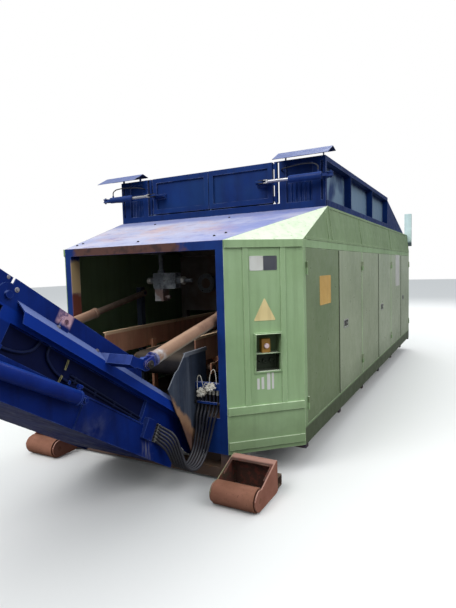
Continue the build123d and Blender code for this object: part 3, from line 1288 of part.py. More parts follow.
def rotor(side, first_y):
    """Knife rotor: stepped shaft with a row of keyed discs, each turned on from the one before."""
    x = side * ROTOR_OFFSET
    end = CHAMBER_END + CHAMBER_WALL + BEARING_THICK
    shaft = joined([
        bar_y(x, (CHAMBER_START + SHAFT_SIDE_GAP, CHAMBER_END - SHAFT_SIDE_GAP), ROTOR_Z, SHAFT_RADIUS),
        bar_y(x, (CHAMBER_START - CHAMBER_WALL - BEARING_THICK, end), ROTOR_Z, JOURNAL_RADIUS),
        bar_y(x, (end, end + MOTOR_LENGTH / 2), ROTOR_Z, MOTOR_SHAFT),
    ])
    solids = [shaft]
    for index in range(DISC_COUNT):
        y = first_y + index * DISC_PITCH
        plane = Plane(origin=(x, y, ROTOR_Z), x_dir=(side, 0, 0), z_dir=(0, 1, 0))
        disc = rotor_disc(plane, index * 360 / TOOTH_COUNT / 4)
        bore = bar_y(x, (y, y + DISC_THICK), ROTOR_Z, SHAFT_RADIUS + SHAFT_FIT)
        solids.append(disc - bore)
    return Compound(children=solids)


def rotor_bearings():
    pieces = []
    for side in (-1, 1):
        x = side * ROTOR_OFFSET
        for y in ((CHAMBER_START - CHAMBER_WALL - BEARING_THICK, CHAMBER_START - CHAMBER_WALL),
                  (CHAMBER_END + CHAMBER_WALL, CHAMBER_END + CHAMBER_WALL + BEARING_THICK)):
            ring = bar_y(x, y, ROTOR_Z, BEARING_RADIUS)
            for step in range(BOLT_COUNT):
                angle = 2 * math.pi * step / BOLT_COUNT
                reach_out = BEARING_RADIUS - LEG / 4
                bolt_x, bolt_z = x + reach_out * math.cos(angle), ROTOR_Z + reach_out * math.sin(angle)
                ring = ring - bar_y(bolt_x, y, bolt_z, BOLT_HOLE)
            pieces.append(ring - bar_y(x, y, ROTOR_Z, JOURNAL_RADIUS + SHAFT_FIT))
    return joined(pieces)


def rotor_motors():
    pieces = []
    start = CHAMBER_END + CHAMBER_WALL + BEARING_THICK + SHAFT_SIDE_GAP
    for side in (-1, 1):
        x = side * ROTOR_OFFSET
        body = bar_y(x, (start, start + MOTOR_LENGTH), ROTOR_Z, MOTOR_RADIUS - MOTOR_FLANGE)
        body = body + bar_y(x, (start, start + MOTOR_FLANGE), ROTOR_Z, MOTOR_RADIUS)
        cap = (start + MOTOR_LENGTH - 3 * MOTOR_FLANGE, start + MOTOR_LENGTH)
        body = body + bar_y(x, cap, ROTOR_Z, MOTOR_RADIUS)
        foot = block((x - LEG / 2, x + LEG / 2), (start, start + LEG), (CHAMBER_LOW + LEG, ROTOR_Z))
        arm = block((x - LEG / 2, x + LEG / 2), (CHAMBER_END + CHAMBER_WALL, start + LEG),
                    (CHAMBER_LOW, CHAMBER_LOW + LEG))
        bore = bar_y(x, (start, start + MOTOR_LENGTH / 2), ROTOR_Z, MOTOR_SHAFT + SHAFT_FIT)
        pieces.append(joined([body, foot, arm]) - bore)
    return joined(pieces)


def collect_frame():
    """Side channels, skirt boards and legs of the inner conveyor."""
    channel_z = (COLLECT_Z - DRUM_RADIUS / 2, COLLECT_Z + DRUM_RADIUS / 2)
    run = (COLLECT_HEAD - 2 * DRUM_SHAFT, COLLECT_TAIL + 2 * DRUM_SHAFT)
    right = [block((COLLECT_HALF, COLLECT_HALF + COLLECT_PLATE), run, channel_z)]
    skirt_y = (POST_DEPTH, CHAMBER_END)
    right.append(block((SKIRT_HALF - SKIRT_PLATE, SKIRT_HALF), skirt_y, (SKIRT_LOW, SKIRT_HIGH)))
    lip_z = (SKIRT_HIGH - SKIRT_PLATE, SKIRT_HIGH)
    right.append(block((SKIRT_HALF, SKIRT_HALF + SKIRT_LIP), skirt_y, lip_z))
    for y in (COLLECT_HEAD + LEG_INSET, (COLLECT_HEAD + COLLECT_TAIL) / 2, COLLECT_TAIL - LEG_INSET):
        right.append(block((COLLECT_HALF + COLLECT_PLATE, SKIRT_HALF - SKIRT_PLATE), (y, y + LEG),
                           (BODY_BOTTOM + FLOOR_SHEET, SKIRT_LOW + LEG)))
    for y in (COLLECT_HEAD + 2 * DRUM_RADIUS, COLLECT_TAIL - 4 * DRUM_RADIUS):
        right.append(block((0, COLLECT_HALF), (y, y + LEG), (COLLECT_Z - LEG / 2, COLLECT_Z + LEG / 2)))
    bed_top = COLLECT_Z + DRUM_RADIUS
    right.append(block((0, COLLECT_HALF), (COLLECT_HEAD + 2 * DRUM_RADIUS, COLLECT_TAIL - 2 * DRUM_RADIUS),
                       (bed_top - BED_SHEET - JOINT_GAP, bed_top - JOINT_GAP)))
    for y in (COLLECT_HEAD + 2 * DRUM_RADIUS, COLLECT_TAIL - 4 * DRUM_RADIUS):
        right.append(block((0, COLLECT_HALF), (y, y + LEG), (COLLECT_Z, bed_top - BED_SHEET)))
    body = both_sides(joined(right))
    for y in (COLLECT_HEAD, COLLECT_TAIL):
        body = body - bar_x((-BODY_HALF_WIDTH, BODY_HALF_WIDTH), y, COLLECT_Z, DRUM_SHAFT + SHAFT_FIT)
    return body


def level_belt():
    """Flat belt loop, a little clear of its drums."""
    inner = DRUM_RADIUS + JOINT_GAP

    def loop(radius):
        middle = (COLLECT_HEAD + COLLECT_TAIL) / 2
        plane = Plane(origin=(-BELT_HALF, middle, COLLECT_Z), x_dir=(0, 1, 0), z_dir=(1, 0, 0))
        sketch = SlotCenterToCenter(COLLECT_TAIL - COLLECT_HEAD, 2 * radius)
        return extrude(plane * sketch, amount=2 * BELT_HALF, dir=(1, 0, 0))

    return loop(inner + BELT_THICK) - loop(inner)


def drum_shell(half_face, shaft_half):
    """Hollow belt drum with set-in end discs, turned about the origin along X."""
    inner = DRUM_RADIUS - DRUM_WALL
    face = half_face - DRUM_RECESS
    outline = [
        (0, 0), (shaft_half, 0), (shaft_half, DRUM_SHAFT), (face, DRUM_SHAFT), (face, inner),
        (half_face, inner), (half_face, DRUM_RADIUS), (0, DRUM_RADIUS),
    ]
    cavity = [(0, DRUM_SHAFT), (face - DRUM_WALL, DRUM_SHAFT), (face - DRUM_WALL, inner), (0, inner)]
    half = revolve(Polygon(*outline, align=None), Axis.X) - revolve(Polygon(*cavity, align=None), Axis.X)
    return both_sides(half)


def collect_drum(y):
    return Pos(0, y, COLLECT_Z) * drum_shell(BELT_HALF + DRUM_SHAFT, COLLECT_HALF + COLLECT_PLATE)


TAIL_ALONG = -TILT_PIVOT[0] * COS + TILT_PIVOT[1] * SIN
TAIL_ACROSS = TILT_PIVOT[0] * SIN + TILT_PIVOT[1] * COS
BELT_UNDER = TAIL_ACROSS + DRUM_RADIUS + JOINT_GAP


def conveyor_side():
    """Side plate of the lower section in its two levels, with the rounded tail and the fold ear."""
    ear_start = FOLD_ALONG - FOLD_GAP
    top = [
        (TAIL_ALONG, LIP_LEVEL), (RAISED_FOOT, LIP_LEVEL), (RAISED_START, UPPER_EDGE),
        (ear_start, UPPER_EDGE), (ear_start, LOWER_EDGE), (TAIL_ALONG + TAIL_ROUND, LOWER_EDGE),
        (TAIL_ALONG, TAIL_ACROSS),
    ]
    x = (SIDE_HALF - SIDE_PLATE, SIDE_HALF)
    plate = incline_plate(top, x)
    tail = bar_x(x, TILT_PIVOT[0], TILT_PIVOT[1], TAIL_ROUND)
    ear = incline_bar(FOLD_ALONG, FOLD_ACROSS, x, EAR_RADIUS)
    low_cut = incline_plate([(TAIL_ALONG - TAIL_ROUND, LIP_LEVEL), (TAIL_ALONG + TAIL_ROUND, LIP_LEVEL),
                             (TAIL_ALONG + TAIL_ROUND, LIP_LEVEL + TAIL_ROUND),
                             (TAIL_ALONG - TAIL_ROUND, LIP_LEVEL + TAIL_ROUND)], x)
    corner = incline(TAIL_ALONG + TAIL_ROUND, LOWER_EDGE)
    keep = side_plate([(corner[0] - TAIL_ROUND, 0), (TILT_PIVOT[0] + TAIL_ROUND, 0),
                       (TILT_PIVOT[0] + TAIL_ROUND, TILT_PIVOT[1] - TAIL_ROUND),
                       (corner[0] - TAIL_ROUND, TILT_PIVOT[1] - TAIL_ROUND)], x)
    return joined([plate, tail - low_cut, ear]) - keep


def lift_linkage():
    """Worked in (-y, z), where raising turns the positive way."""
    centre = (-TILT_PIVOT[0], TILT_PIVOT[1])
    base = (-LIFT_BASE[0], LIFT_BASE[1])
    pin = (-LIFT_PIN[0], LIFT_PIN[1])
    return linkage(centre, base, pin, -math.radians(TILT_DOWN), math.radians(TILT_UP))


def fold_linkage():
    """Worked along and square to the incline, where folding up turns the positive way."""
    return linkage((FOLD_ALONG, FOLD_ACROSS), FOLD_BASE, FOLD_PIN, 0, math.radians(FOLD_UP))


def evenly(start, end, count):
    """Places of a row, from its first to its last."""
    return [start + index * (end - start) / (count - 1) for index in range(count)]


def side_recess():
    """Tray that is let into the side plate, and the hollow in it."""
    depth = (SIDE_HALF - SIDE_RECESS - SIDE_PLATE, SIDE_HALF)
    tray = incline_block((RECESS_START - BED_SHEET, RECESS_END + BED_SHEET),
                         (RECESS_FOOT - BED_SHEET, RECESS_HEAD + BED_SHEET), depth)
    hollow = incline_block((RECESS_START, RECESS_END), (RECESS_FOOT, RECESS_HEAD),
                           (depth[0] + SIDE_PLATE, SIDE_HALF + SIDE_PLATE))
    return tray, hollow


def recess_pipes():
    """Two steel pipes with clips and two short hoses that lie in the side recess."""
    back = SIDE_HALF - SIDE_RECESS
    x = back + SIDE_PLATE
    pieces = []
    low = RECESS_FOOT + 2 * PIPE_RADIUS
    for across in (low, low + COUPLING_PITCH):
        start = incline(RECESS_START - BED_SHEET / 2, across)
        end = incline(PIPE_END, across + PIPE_RISE)
        pieces.append(bar((x, start[0], start[1]), (x, end[0], end[1]), PIPE_RADIUS))
    spread = PIPE_END - RECESS_START
    for along in evenly(RECESS_START + 2 * MEMBER_WIDTH, PIPE_END - MEMBER_WIDTH, PIPE_CLIPS):
        foot = low + PIPE_RISE * (along - RECESS_START) / spread - 1.5 * PIPE_RADIUS
        clip = (foot, foot + COUPLING_PITCH + 3 * PIPE_RADIUS)
        pieces.append(incline_block((along, along + 2 * PIPE_RADIUS), clip, (back - 1, x + PIPE_RADIUS / 2)))
    hose_x = back + SMALL_HOSE_RADIUS + 2
    for route in SMALL_HOSES:
        pieces.append(hose_tube([(hose_x, *incline(*point)) for point in route], SMALL_HOSE_RADIUS))
    last = SMALL_HOSES[0][-1]
    far = SMALL_HOSES[1][-1]
    for along, across in (last, far):
        pieces.append(incline_block((along - SMALL_HOSE_RADIUS, along + SMALL_HOSE_RADIUS),
                                    (across - 1.4 * SMALL_HOSE_RADIUS, across + 1.4 * SMALL_HOSE_RADIUS),
                                    (back - 1, hose_x + 1.4 * SMALL_HOSE_RADIUS)))
    return joined(pieces)


def conveyor_lower():
    tray, hollow = side_recess()
    right = [conveyor_side() + tray - hollow, recess_pipes()]
    channel_out = SIDE_HALF + CHANNEL_PROUD
    right.append(incline_block((TAIL_ALONG + TAIL_ROUND, CHANNEL_END), (LOWER_EDGE, RECESS_FOOT),
                               (SIDE_HALF - 1, channel_out)))
    right.append(incline_block((RECESS_START, CHANNEL_END), (RECESS_FOOT - CHANNEL_LIP, RECESS_FOOT),
                               (SIDE_HALF - 1, channel_out + CHANNEL_LIP)))
    flange_in = FLANGE_OUT - FLANGE_SHEET
    flange = [(SIDE_HALF, FLANGE_TOP), (FLANGE_OUT, FLANGE_BEND), (FLANGE_OUT, FLANGE_LOW),
              (flange_in, FLANGE_LOW), (flange_in, FLANGE_BEND - FLANGE_SHEET),
              (SIDE_HALF, FLANGE_TOP - 1.5 * FLANGE_SHEET)]
    flange_plane = Plane(origin=(0, 0, 0), x_dir=(1, 0, 0), z_dir=(0, -COS, SIN))
    start = flange_plane.offset(FLANGE_START)
    section = Polygon(*[(x, n) for x, n in flange], align=None)
    flange_solid = extrude(start * section, amount=FLANGE_END - FLANGE_START, dir=flange_plane.z_dir)
    past = FLANGE_END + 1
    tip = incline_plate([(FLANGE_END - FLANGE_TOP / 3, 0), (past, 0), (past, FLANGE_TOP)],
                        (SIDE_HALF + 1, BODY_HALF_WIDTH))
    right.append(flange_solid - tip)
    stub = (SIDE_HALF - SIDE_PLATE, CHEEK_PLATE_HALF + CHEEK_PLATE)
    right.append(bar_x(stub, TILT_PIVOT[0], TILT_PIVOT[1], STUB_RADIUS))
    right.append(incline_bar(FOLD_ALONG, FOLD_ACROSS, (UPPER_HALF - SIDE_PLATE, SIDE_HALF + 2 * SIDE_PLATE),
                             FOLD_PIN_RADIUS))
    lug_x = (SIDE_HALF + SIDE_PLATE, SIDE_HALF + 2.5 * SIDE_PLATE)
    lug_along = (LUG_ALONG - LUG_RADIUS, LUG_ALONG + LUG_RADIUS)
    eye_across = FLANGE_TOP + LUG_RADIUS
    lug = incline_block(lug_along, (FLANGE_TOP - 2 * LUG_RADIUS, eye_across), lug_x)
    lug = lug + incline_bar(LUG_ALONG, eye_across, lug_x, LUG_RADIUS)
    right.append(lug - incline_bar(LUG_ALONG, eye_across, lug_x, LUG_HOLE))
    right.append(incline_block(lug_along, (FLANGE_TOP - 2 * LUG_RADIUS, FLANGE_TOP - LUG_RADIUS),
                               (SIDE_HALF, lug_x[1])))
    arm_end = LIFT_X + LIFT_LUG / 2
    right.append(incline_block((LIFT_ARM_ALONG - MEMBER_HEIGHT / 2, LIFT_ARM_ALONG + MEMBER_HEIGHT / 2),
                               (LIFT_ARM_ACROSS - MEMBER_HEIGHT / 2, LIFT_ARM_ACROSS + MEMBER_HEIGHT / 2),
                               (SIDE_HALF, arm_end)))
    right.append(lift_lug())
    base_y, base_z = incline(*FOLD_BASE)
    right.append(bar_x((SIDE_HALF, FOLD_CYL_X + 2 * FOLD_LUG), base_y, base_z, FOLD_CYL_PIN))
    clip = HOSE_RADIUS + SIDE_PLATE
    couplings_top = COUPLING_LOW + (HOSE_COUNT - 1) * COUPLING_PITCH
    right.append(incline_block((COUPLING_ALONG, COUPLING_ALONG + 2 * MEMBER_WIDTH),
                               (COUPLING_LOW - clip, couplings_top + clip),
                               (SIDE_HALF, channel_out + 2 * HOSE_RADIUS + SIDE_PLATE)))
    body = both_sides(joined(right))
    across = (BELT_UNDER - BED_SHEET - JOINT_GAP, BELT_UNDER - JOINT_GAP)
    inner = SIDE_HALF - SIDE_PLATE
    bed_end = FOLD_ALONG - 2 * EAR_RADIUS
    bed = incline_block((TAIL_ALONG + 2 * DRUM_RADIUS, bed_end), across, (-inner, inner))
    pieces = [body, bed]
    for along in evenly(TAIL_ALONG + 4 * DRUM_RADIUS, bed_end - MEMBER_WIDTH, MEMBER_COUNT):
        pieces.append(incline_block((along, along + MEMBER_WIDTH), (across[0] - MEMBER_HEIGHT, across[0]),
                                    (-inner, inner)))
    pieces.append(incline_block((TAIL_ALONG + 2 * TAIL_ROUND, FOLD_ALONG - EAR_RADIUS),
                                (LOWER_EDGE, LOWER_EDGE + BED_SHEET), (-inner, inner)))
    whole = joined(pieces)
    hub = DRUM_SHAFT + SHAFT_FIT
    return whole - bar_x((-SIDE_HALF, SIDE_HALF), TILT_PIVOT[0], TILT_PIVOT[1], hub)


def lift_lug():
    """Lug plate between the fork cheeks, slotted for the open pivot."""
    path = [(-u, v) for u, v in lift_linkage()[2]]
    x = (LIFT_X - LIFT_LUG / 2, LIFT_X + LIFT_LUG / 2)
    plane = Plane(origin=(x[0], 0, 0), x_dir=(0, 1, 0), z_dir=(1, 0, 0))
    nose = extrude(plane * slot_outline(path, LIFT_NOSE_RADIUS), amount=LIFT_LUG, dir=(1, 0, 0))
    arm_y, arm_z = incline(LIFT_ARM_ALONG, LIFT_ARM_ACROSS)
    half = MEMBER_HEIGHT / 2
    web = side_plate([(LIFT_PIN[0] - half, LIFT_PIN[1] - half), (LIFT_PIN[0] - half / 2, LIFT_PIN[1] + half),
                      (arm_y, arm_z + half), (arm_y, arm_z - half)], x)
    cut = extrude(plane * slot_outline(path, LIFT_PIN_RADIUS + PIN_PLAY), amount=LIFT_LUG, dir=(1, 0, 0))
    return nose + web - cut


def conveyor_upper():
    x = (UPPER_HALF - SIDE_PLATE, UPPER_HALF)
    start = FOLD_ALONG + FOLD_GAP
    plate = incline_plate([(start, LOWER_EDGE), (start, UPPER_EDGE), (TOP_END - DRUM_RADIUS, UPPER_EDGE),
                           (TOP_END, UPPER_EDGE - DRUM_RADIUS), (TOP_END, TAIL_ACROSS - 1.5 * DRUM_RADIUS),
                           (TOP_END - 3 * DRUM_RADIUS, LOWER_EDGE)], x)
    ear = incline_bar(FOLD_ALONG, FOLD_ACROSS, x, EAR_RADIUS)
    right = [plate + ear - incline_bar(FOLD_ALONG, FOLD_ACROSS, x, FOLD_PIN_RADIUS + SHAFT_FIT)]
    right.append(fold_lug())
    pin_along, pin_across = FOLD_PIN
    right.append(incline_block((pin_along + MEMBER_HEIGHT, pin_along + 2 * MEMBER_HEIGHT),
                               (pin_across - MEMBER_HEIGHT / 2, pin_across + MEMBER_HEIGHT / 2),
                               (UPPER_HALF, FOLD_CYL_X + FOLD_LUG / 2)))
    body = both_sides(joined(right))
    across = (BELT_UNDER - BED_SHEET - JOINT_GAP, BELT_UNDER - JOINT_GAP)
    inner = UPPER_HALF - SIDE_PLATE
    bed_end = HEAD_ALONG - 2 * DRUM_RADIUS
    pieces = [body, incline_block((FOLD_ALONG + 2 * EAR_RADIUS, bed_end), across, (-inner, inner))]
    for along in evenly(FOLD_ALONG + 3 * EAR_RADIUS, bed_end - MEMBER_WIDTH, UPPER_MEMBER_COUNT):
        pieces.append(incline_block((along, along + MEMBER_WIDTH), (across[0] - MEMBER_HEIGHT, across[0]),
                                    (-inner, inner)))
    hub = DRUM_SHAFT + SHAFT_FIT
    return joined(pieces) - incline_bar(HEAD_ALONG, TAIL_ACROSS, (-UPPER_HALF, UPPER_HALF), hub)


def fold_lug():
    """Lug on the upper section with its slot."""
    path = [incline(s, n) for s, n in fold_linkage()[2]]
    x = (FOLD_CYL_X - FOLD_LUG / 2, FOLD_CYL_X + FOLD_LUG / 2)
    plane = Plane(origin=(x[0], 0, 0), x_dir=(0, 1, 0), z_dir=(1, 0, 0))
    nose = extrude(plane * slot_outline(path, FOLD_NOSE_RADIUS), amount=FOLD_LUG, dir=(1, 0, 0))
    web = incline_block((FOLD_PIN[0], FOLD_PIN[0] + 2 * MEMBER_HEIGHT),
                        (FOLD_PIN[1] - MEMBER_HEIGHT / 2, FOLD_PIN[1] + MEMBER_HEIGHT / 2), x)
    cut = extrude(plane * slot_outline(path, FOLD_CYL_PIN + PIN_PLAY), amount=FOLD_LUG, dir=(1, 0, 0))
    return nose + web - cut


def conveyor_drum(along, half):
    y, z = incline(along, TAIL_ACROSS)
    return Pos(0, y, z) * drum_shell(BELT_HALF + DRUM_SHAFT, half)


def conveyor_belt():
    inner = DRUM_RADIUS + JOINT_GAP
    middle = incline((TAIL_ALONG + HEAD_ALONG) / 2, TAIL_ACROSS)
    plane = Plane(origin=(-BELT_HALF, middle[0], middle[1]), x_dir=(0, -COS, SIN), z_dir=(1, 0, 0))

    def loop(radius):
        sketch = SlotCenterToCenter(HEAD_ALONG - TAIL_ALONG, 2 * radius)
        return extrude(plane * sketch, amount=2 * BELT_HALF, dir=(1, 0, 0))

    return loop(inner + BELT_THICK) - loop(inner)


def along_line(base, pin, distance):
    """Point on the line from base to pin, in the plane of the two."""
    length = math.dist(base, pin)
    share = distance / length
    return (base[0] + (pin[0] - base[0]) * share, base[1] + (pin[1] - base[1]) * share)


def slab(x, start, end, half_height):
    """Flat bar along a line of (y, z) points, x being its span across the machine."""
    length = math.dist(start, end)
    side = ((start[1] - end[1]) * half_height / length, (end[0] - start[0]) * half_height / length)
    corners = [(start[0] + side[0], start[1] + side[1]), (end[0] + side[0], end[1] + side[1]),
               (end[0] - side[0], end[1] - side[1]), (start[0] - side[0], start[1] - side[1])]
    return side_plate(corners, x)


def end_eye(x, pin, neck_end, lug, radius):
    """Bored eye with its neck."""
    span = (x - lug / 2, x + lug / 2)
    eye = bar_x(span, pin[0], pin[1], 1.9 * radius) + slab(span, pin, neck_end, 1.3 * radius)
    return eye - bar_x(span, pin[0], pin[1], radius + SHAFT_FIT)


def end_fork(x, pin, root, tip, lug, cheek, radius):
    """Two cheeks with their pin; the root block runs from root to tip."""
    gap = lug / 2 + PIN_PLAY
    pieces = [slab((x - gap - cheek, x + gap + cheek), root, tip, 1.6 * radius)]
    for span in ((x - gap - cheek, x - gap), (x + gap, x + gap + cheek)):
        pieces.append(slab(span, pin, tip, 1.6 * radius))
        pieces.append(bar_x(span, pin[0], pin[1], 1.6 * radius))
    pieces.append(bar_x((x - gap - 1.4 * cheek, x + gap + 1.4 * cheek), pin[0], pin[1], radius))
    return joined(pieces)


def barrel_tube(x, base, pin, start, end, radius, rod_radius, cheek):
    """Barrel between two distances on the line, with its end collars and its bore."""

    def piece(first, last, size):
        return bar((x, *along_line(base, pin, first)), (x, *along_line(base, pin, last)), size)

    tube = piece(start, end, radius)
    tube = tube + piece(end - cheek, end + cheek, radius + cheek / 3)
    tube = tube + piece(start, start + 1.5 * cheek, radius + cheek / 3)
    return tube - piece(start + cheek, end + 2 * cheek, rod_radius + SHAFT_FIT)


def lift_cylinder():
    """Barrel with its fork on the conveyor's lug; rod with its eye on the machine's pin."""
    total = math.dist(LIFT_PIN, LIFT_BASE)
    rate, _, path = lift_linkage()
    root = fork_depth(path, LIFT_NOSE_RADIUS)
    start = root + LIFT_CHEEK
    end = start + LIFT_BARREL_LENGTH
    far = total - 3.2 * LIFT_PIN_RADIUS
    barrel = barrel_tube(LIFT_X, LIFT_PIN, LIFT_BASE, start, end, LIFT_BARREL_RADIUS, LIFT_ROD_RADIUS,
                         LIFT_CHEEK)
    barrel = barrel + end_fork(LIFT_X, LIFT_PIN, along_line(LIFT_PIN, LIFT_BASE, root),
                               along_line(LIFT_PIN, LIFT_BASE, start), LIFT_LUG, LIFT_CHEEK, LIFT_PIN_RADIUS)
    rod_start = start + LIFT_CHEEK + FORK_CLEARANCE - rate * math.radians(TILT_UP)
    rod_end = along_line(LIFT_PIN, LIFT_BASE, far)
    rod = bar((LIFT_X, *along_line(LIFT_PIN, LIFT_BASE, rod_start)), (LIFT_X, *rod_end), LIFT_ROD_RADIUS)
    return barrel, rod + end_eye(LIFT_X, LIFT_BASE, rod_end, LIFT_LUG, LIFT_PIN_RADIUS)


def fold_cylinder():
    """Barrel with its eye and oil port on the lower section; rod with its fork on the upper one's lug."""
    base, pin = incline(*FOLD_BASE), incline(*FOLD_PIN)
    total = math.dist(base, pin)
    start = 3 * FOLD_CYL_PIN
    end = start + FOLD_BARREL_LENGTH
    root = total - fork_depth(fold_linkage()[2], FOLD_NOSE_RADIUS)
    far = root - FORK_CHEEK
    barrel = barrel_tube(FOLD_CYL_X, base, pin, start, end, FOLD_BARREL_RADIUS, FOLD_ROD_RADIUS, FORK_CHEEK)
    barrel = barrel + end_eye(FOLD_CYL_X, base, along_line(base, pin, start), FOLD_LUG, FOLD_CYL_PIN)
    for distance, tee in ((start + 2 * FORK_CHEEK, True), (end - 2 * FORK_CHEEK, False)):
        foot = along_line(base, pin, distance)
        rise = FOLD_BARREL_RADIUS + 2 * CYL_PIN_RADIUS
        side = ((base[1] - pin[1]) * rise / total, (pin[0] - base[0]) * rise / total)
        if side[1] < 0:
            side = (-side[0], -side[1])
        top = (foot[0] + side[0], foot[1] + side[1])
        barrel = barrel + bar((FOLD_CYL_X, *foot), (FOLD_CYL_X, *top), CYL_PIN_RADIUS)
        if tee:
            step = ((pin[0] - base[0]) * FOLD_CYL_PIN / total, (pin[1] - base[1]) * FOLD_CYL_PIN / total)
            barrel = barrel + bar((FOLD_CYL_X, top[0] - step[0], top[1] - step[1]),
                                  (FOLD_CYL_X, top[0] + step[0], top[1] + step[1]), CYL_PIN_RADIUS + 2)
    inside = along_line(base, pin, start + FORK_CHEEK)
    barrel = barrel - bar((FOLD_CYL_X, *inside), (FOLD_CYL_X, *along_line(base, pin, end + 2 * FORK_CHEEK)),
                          FOLD_ROD_RADIUS + SHAFT_FIT)
    rod_start = start + FORK_CHEEK + FORK_CLEARANCE
    fork_tip = along_line(base, pin, far)
    rod = bar((FOLD_CYL_X, *along_line(base, pin, rod_start)), (FOLD_CYL_X, *fork_tip), FOLD_ROD_RADIUS)
    fork_root = along_line(base, pin, root)
    fork = end_fork(FOLD_CYL_X, pin, fork_root, fork_tip, FOLD_LUG, FORK_CHEEK, FOLD_CYL_PIN)
    return barrel, rod + fork


def discharge_chute():
    """Two cheek plates that carry the conveyor's tail pivot, and the lift cylinders' anchor posts."""
    inner = CHEEK_PLATE_HALF
    outer = inner + CHEEK_FOLD + CHEEK_PLATE
    rear = TILT_PIVOT[0] + CHEEK_REAR
    rail_top = RAIL_HEIGHT + JOINT_GAP
    outline = [
        (rear, rail_top), (rear, CHEEK_TOP), (CHEEK_TOP_FRONT, CHEEK_TOP), CHEEK_NOSE,
        (CHEEK_FOOT, RAIL_HEIGHT), (0, BEAM_TOP), (BEAM_DEPTH, BEAM_TOP), (BEAM_DEPTH, rail_top),
    ]
    wave = [
        (inner, rear), (inner, CHEEK_FOLDS[3]), (inner + CHEEK_FOLD, CHEEK_FOLDS[2]),
        (inner + CHEEK_FOLD, CHEEK_FOLDS[1]), (inner, CHEEK_FOLDS[0]), (inner, CHEEK_NOSE[0]),
    ]
    folded = wave + [(x + CHEEK_PLATE, y) for x, y in reversed(wave)]
    cheek = side_plate(outline, (inner, outer)) & plan_plate(folded, (0, WALL_TOP))
    hem = block((inner, outer), (CHEEK_TOP_FRONT, rear), (CHEEK_TOP - CHEEK_HEM, CHEEK_TOP))
    under = (0, CHEEK_TOP - CHEEK_PLATE)
    hem = hem - block((inner - 1, outer - CHEEK_PLATE), (CHEEK_TOP_FRONT, rear), under)
    boss_x = (inner + CHEEK_PLATE, inner + 3 * CHEEK_PLATE)
    boss = bar_x(boss_x, TILT_PIVOT[0], TILT_PIVOT[1], 1.8 * STUB_RADIUS)
    bore = bar_x((inner, inner + 3 * CHEEK_PLATE), TILT_PIVOT[0], TILT_PIVOT[1], STUB_RADIUS + SHAFT_FIT)
    post_x = (LIFT_X + LIFT_LUG / 2 + JOINT_GAP, LIFT_X + LIFT_LUG / 2 + LEG)
    base_y, base_z = LIFT_BASE
    post = block(post_x, (base_y - LEG / 2, base_y + LEG / 2), (BODY_BOTTOM + FLOOR_SHEET, base_z + LEG))
    pin = bar_x((LIFT_X - LIFT_LUG / 2 - SHEET, post_x[0]), base_y, base_z, LIFT_PIN_RADIUS)
    return both_sides(joined([cheek + hem + boss - bore, post + pin]))


def valve_block():
    """Hydraulic valve hanging behind the lintel on a bracket arm."""
    x, y = VALVE_X, VALVE_Y
    arm_z = (WALL_TOP - POST_WIDTH, WALL_TOP - POST_WIDTH + VALVE_ARM)
    top = arm_z[0] - VALVE_DROP
    low = top - VALVE_HEIGHT
    foot_low = low - VALVE_FOOT_HEIGHT
    level = (top + low) / 2
    body_x = (x - VALVE_WIDTH / 4, x + VALVE_WIDTH * 3 / 4)
    body_y = (y - VALVE_HALF, y + VALVE_HALF)
    nut_end = body_x[1] + VALVE_PORT_LENGTH
    block_edges = fillet(block(body_x, body_y, (low, top)).edges().filter_by(Axis.Y), VALVE_ARM)
    pieces = [
        block((x - VALVE_COLLAR, x + VALVE_COLLAR), (POST_DEPTH, y + VALVE_COLLAR), arm_z),
        bar_z(x, y, (top, arm_z[0]), VALVE_STEM),
        bar_z(x, y, (top, top + VALVE_COLLAR_HEIGHT), VALVE_COLLAR),
        block_edges,
        bar_x((body_x[0] - VALVE_PORT_LENGTH, body_x[0]), y, level, VALVE_PORT),
        bar_x((body_x[1], nut_end), y, level, VALVE_NUT),
        bar_x((nut_end, nut_end + VALVE_PIPE_LENGTH), y, level, VALVE_PIPE),
        block((x - VALVE_HALF, x + VALVE_HALF), body_y, (foot_low, low)),
        bar_x((x + VALVE_HALF, x + VALVE_HALF + VALVE_PORT_LENGTH), y, foot_low + VALVE_NUT, VALVE_PIPE),
    ]
    return joined(pieces)


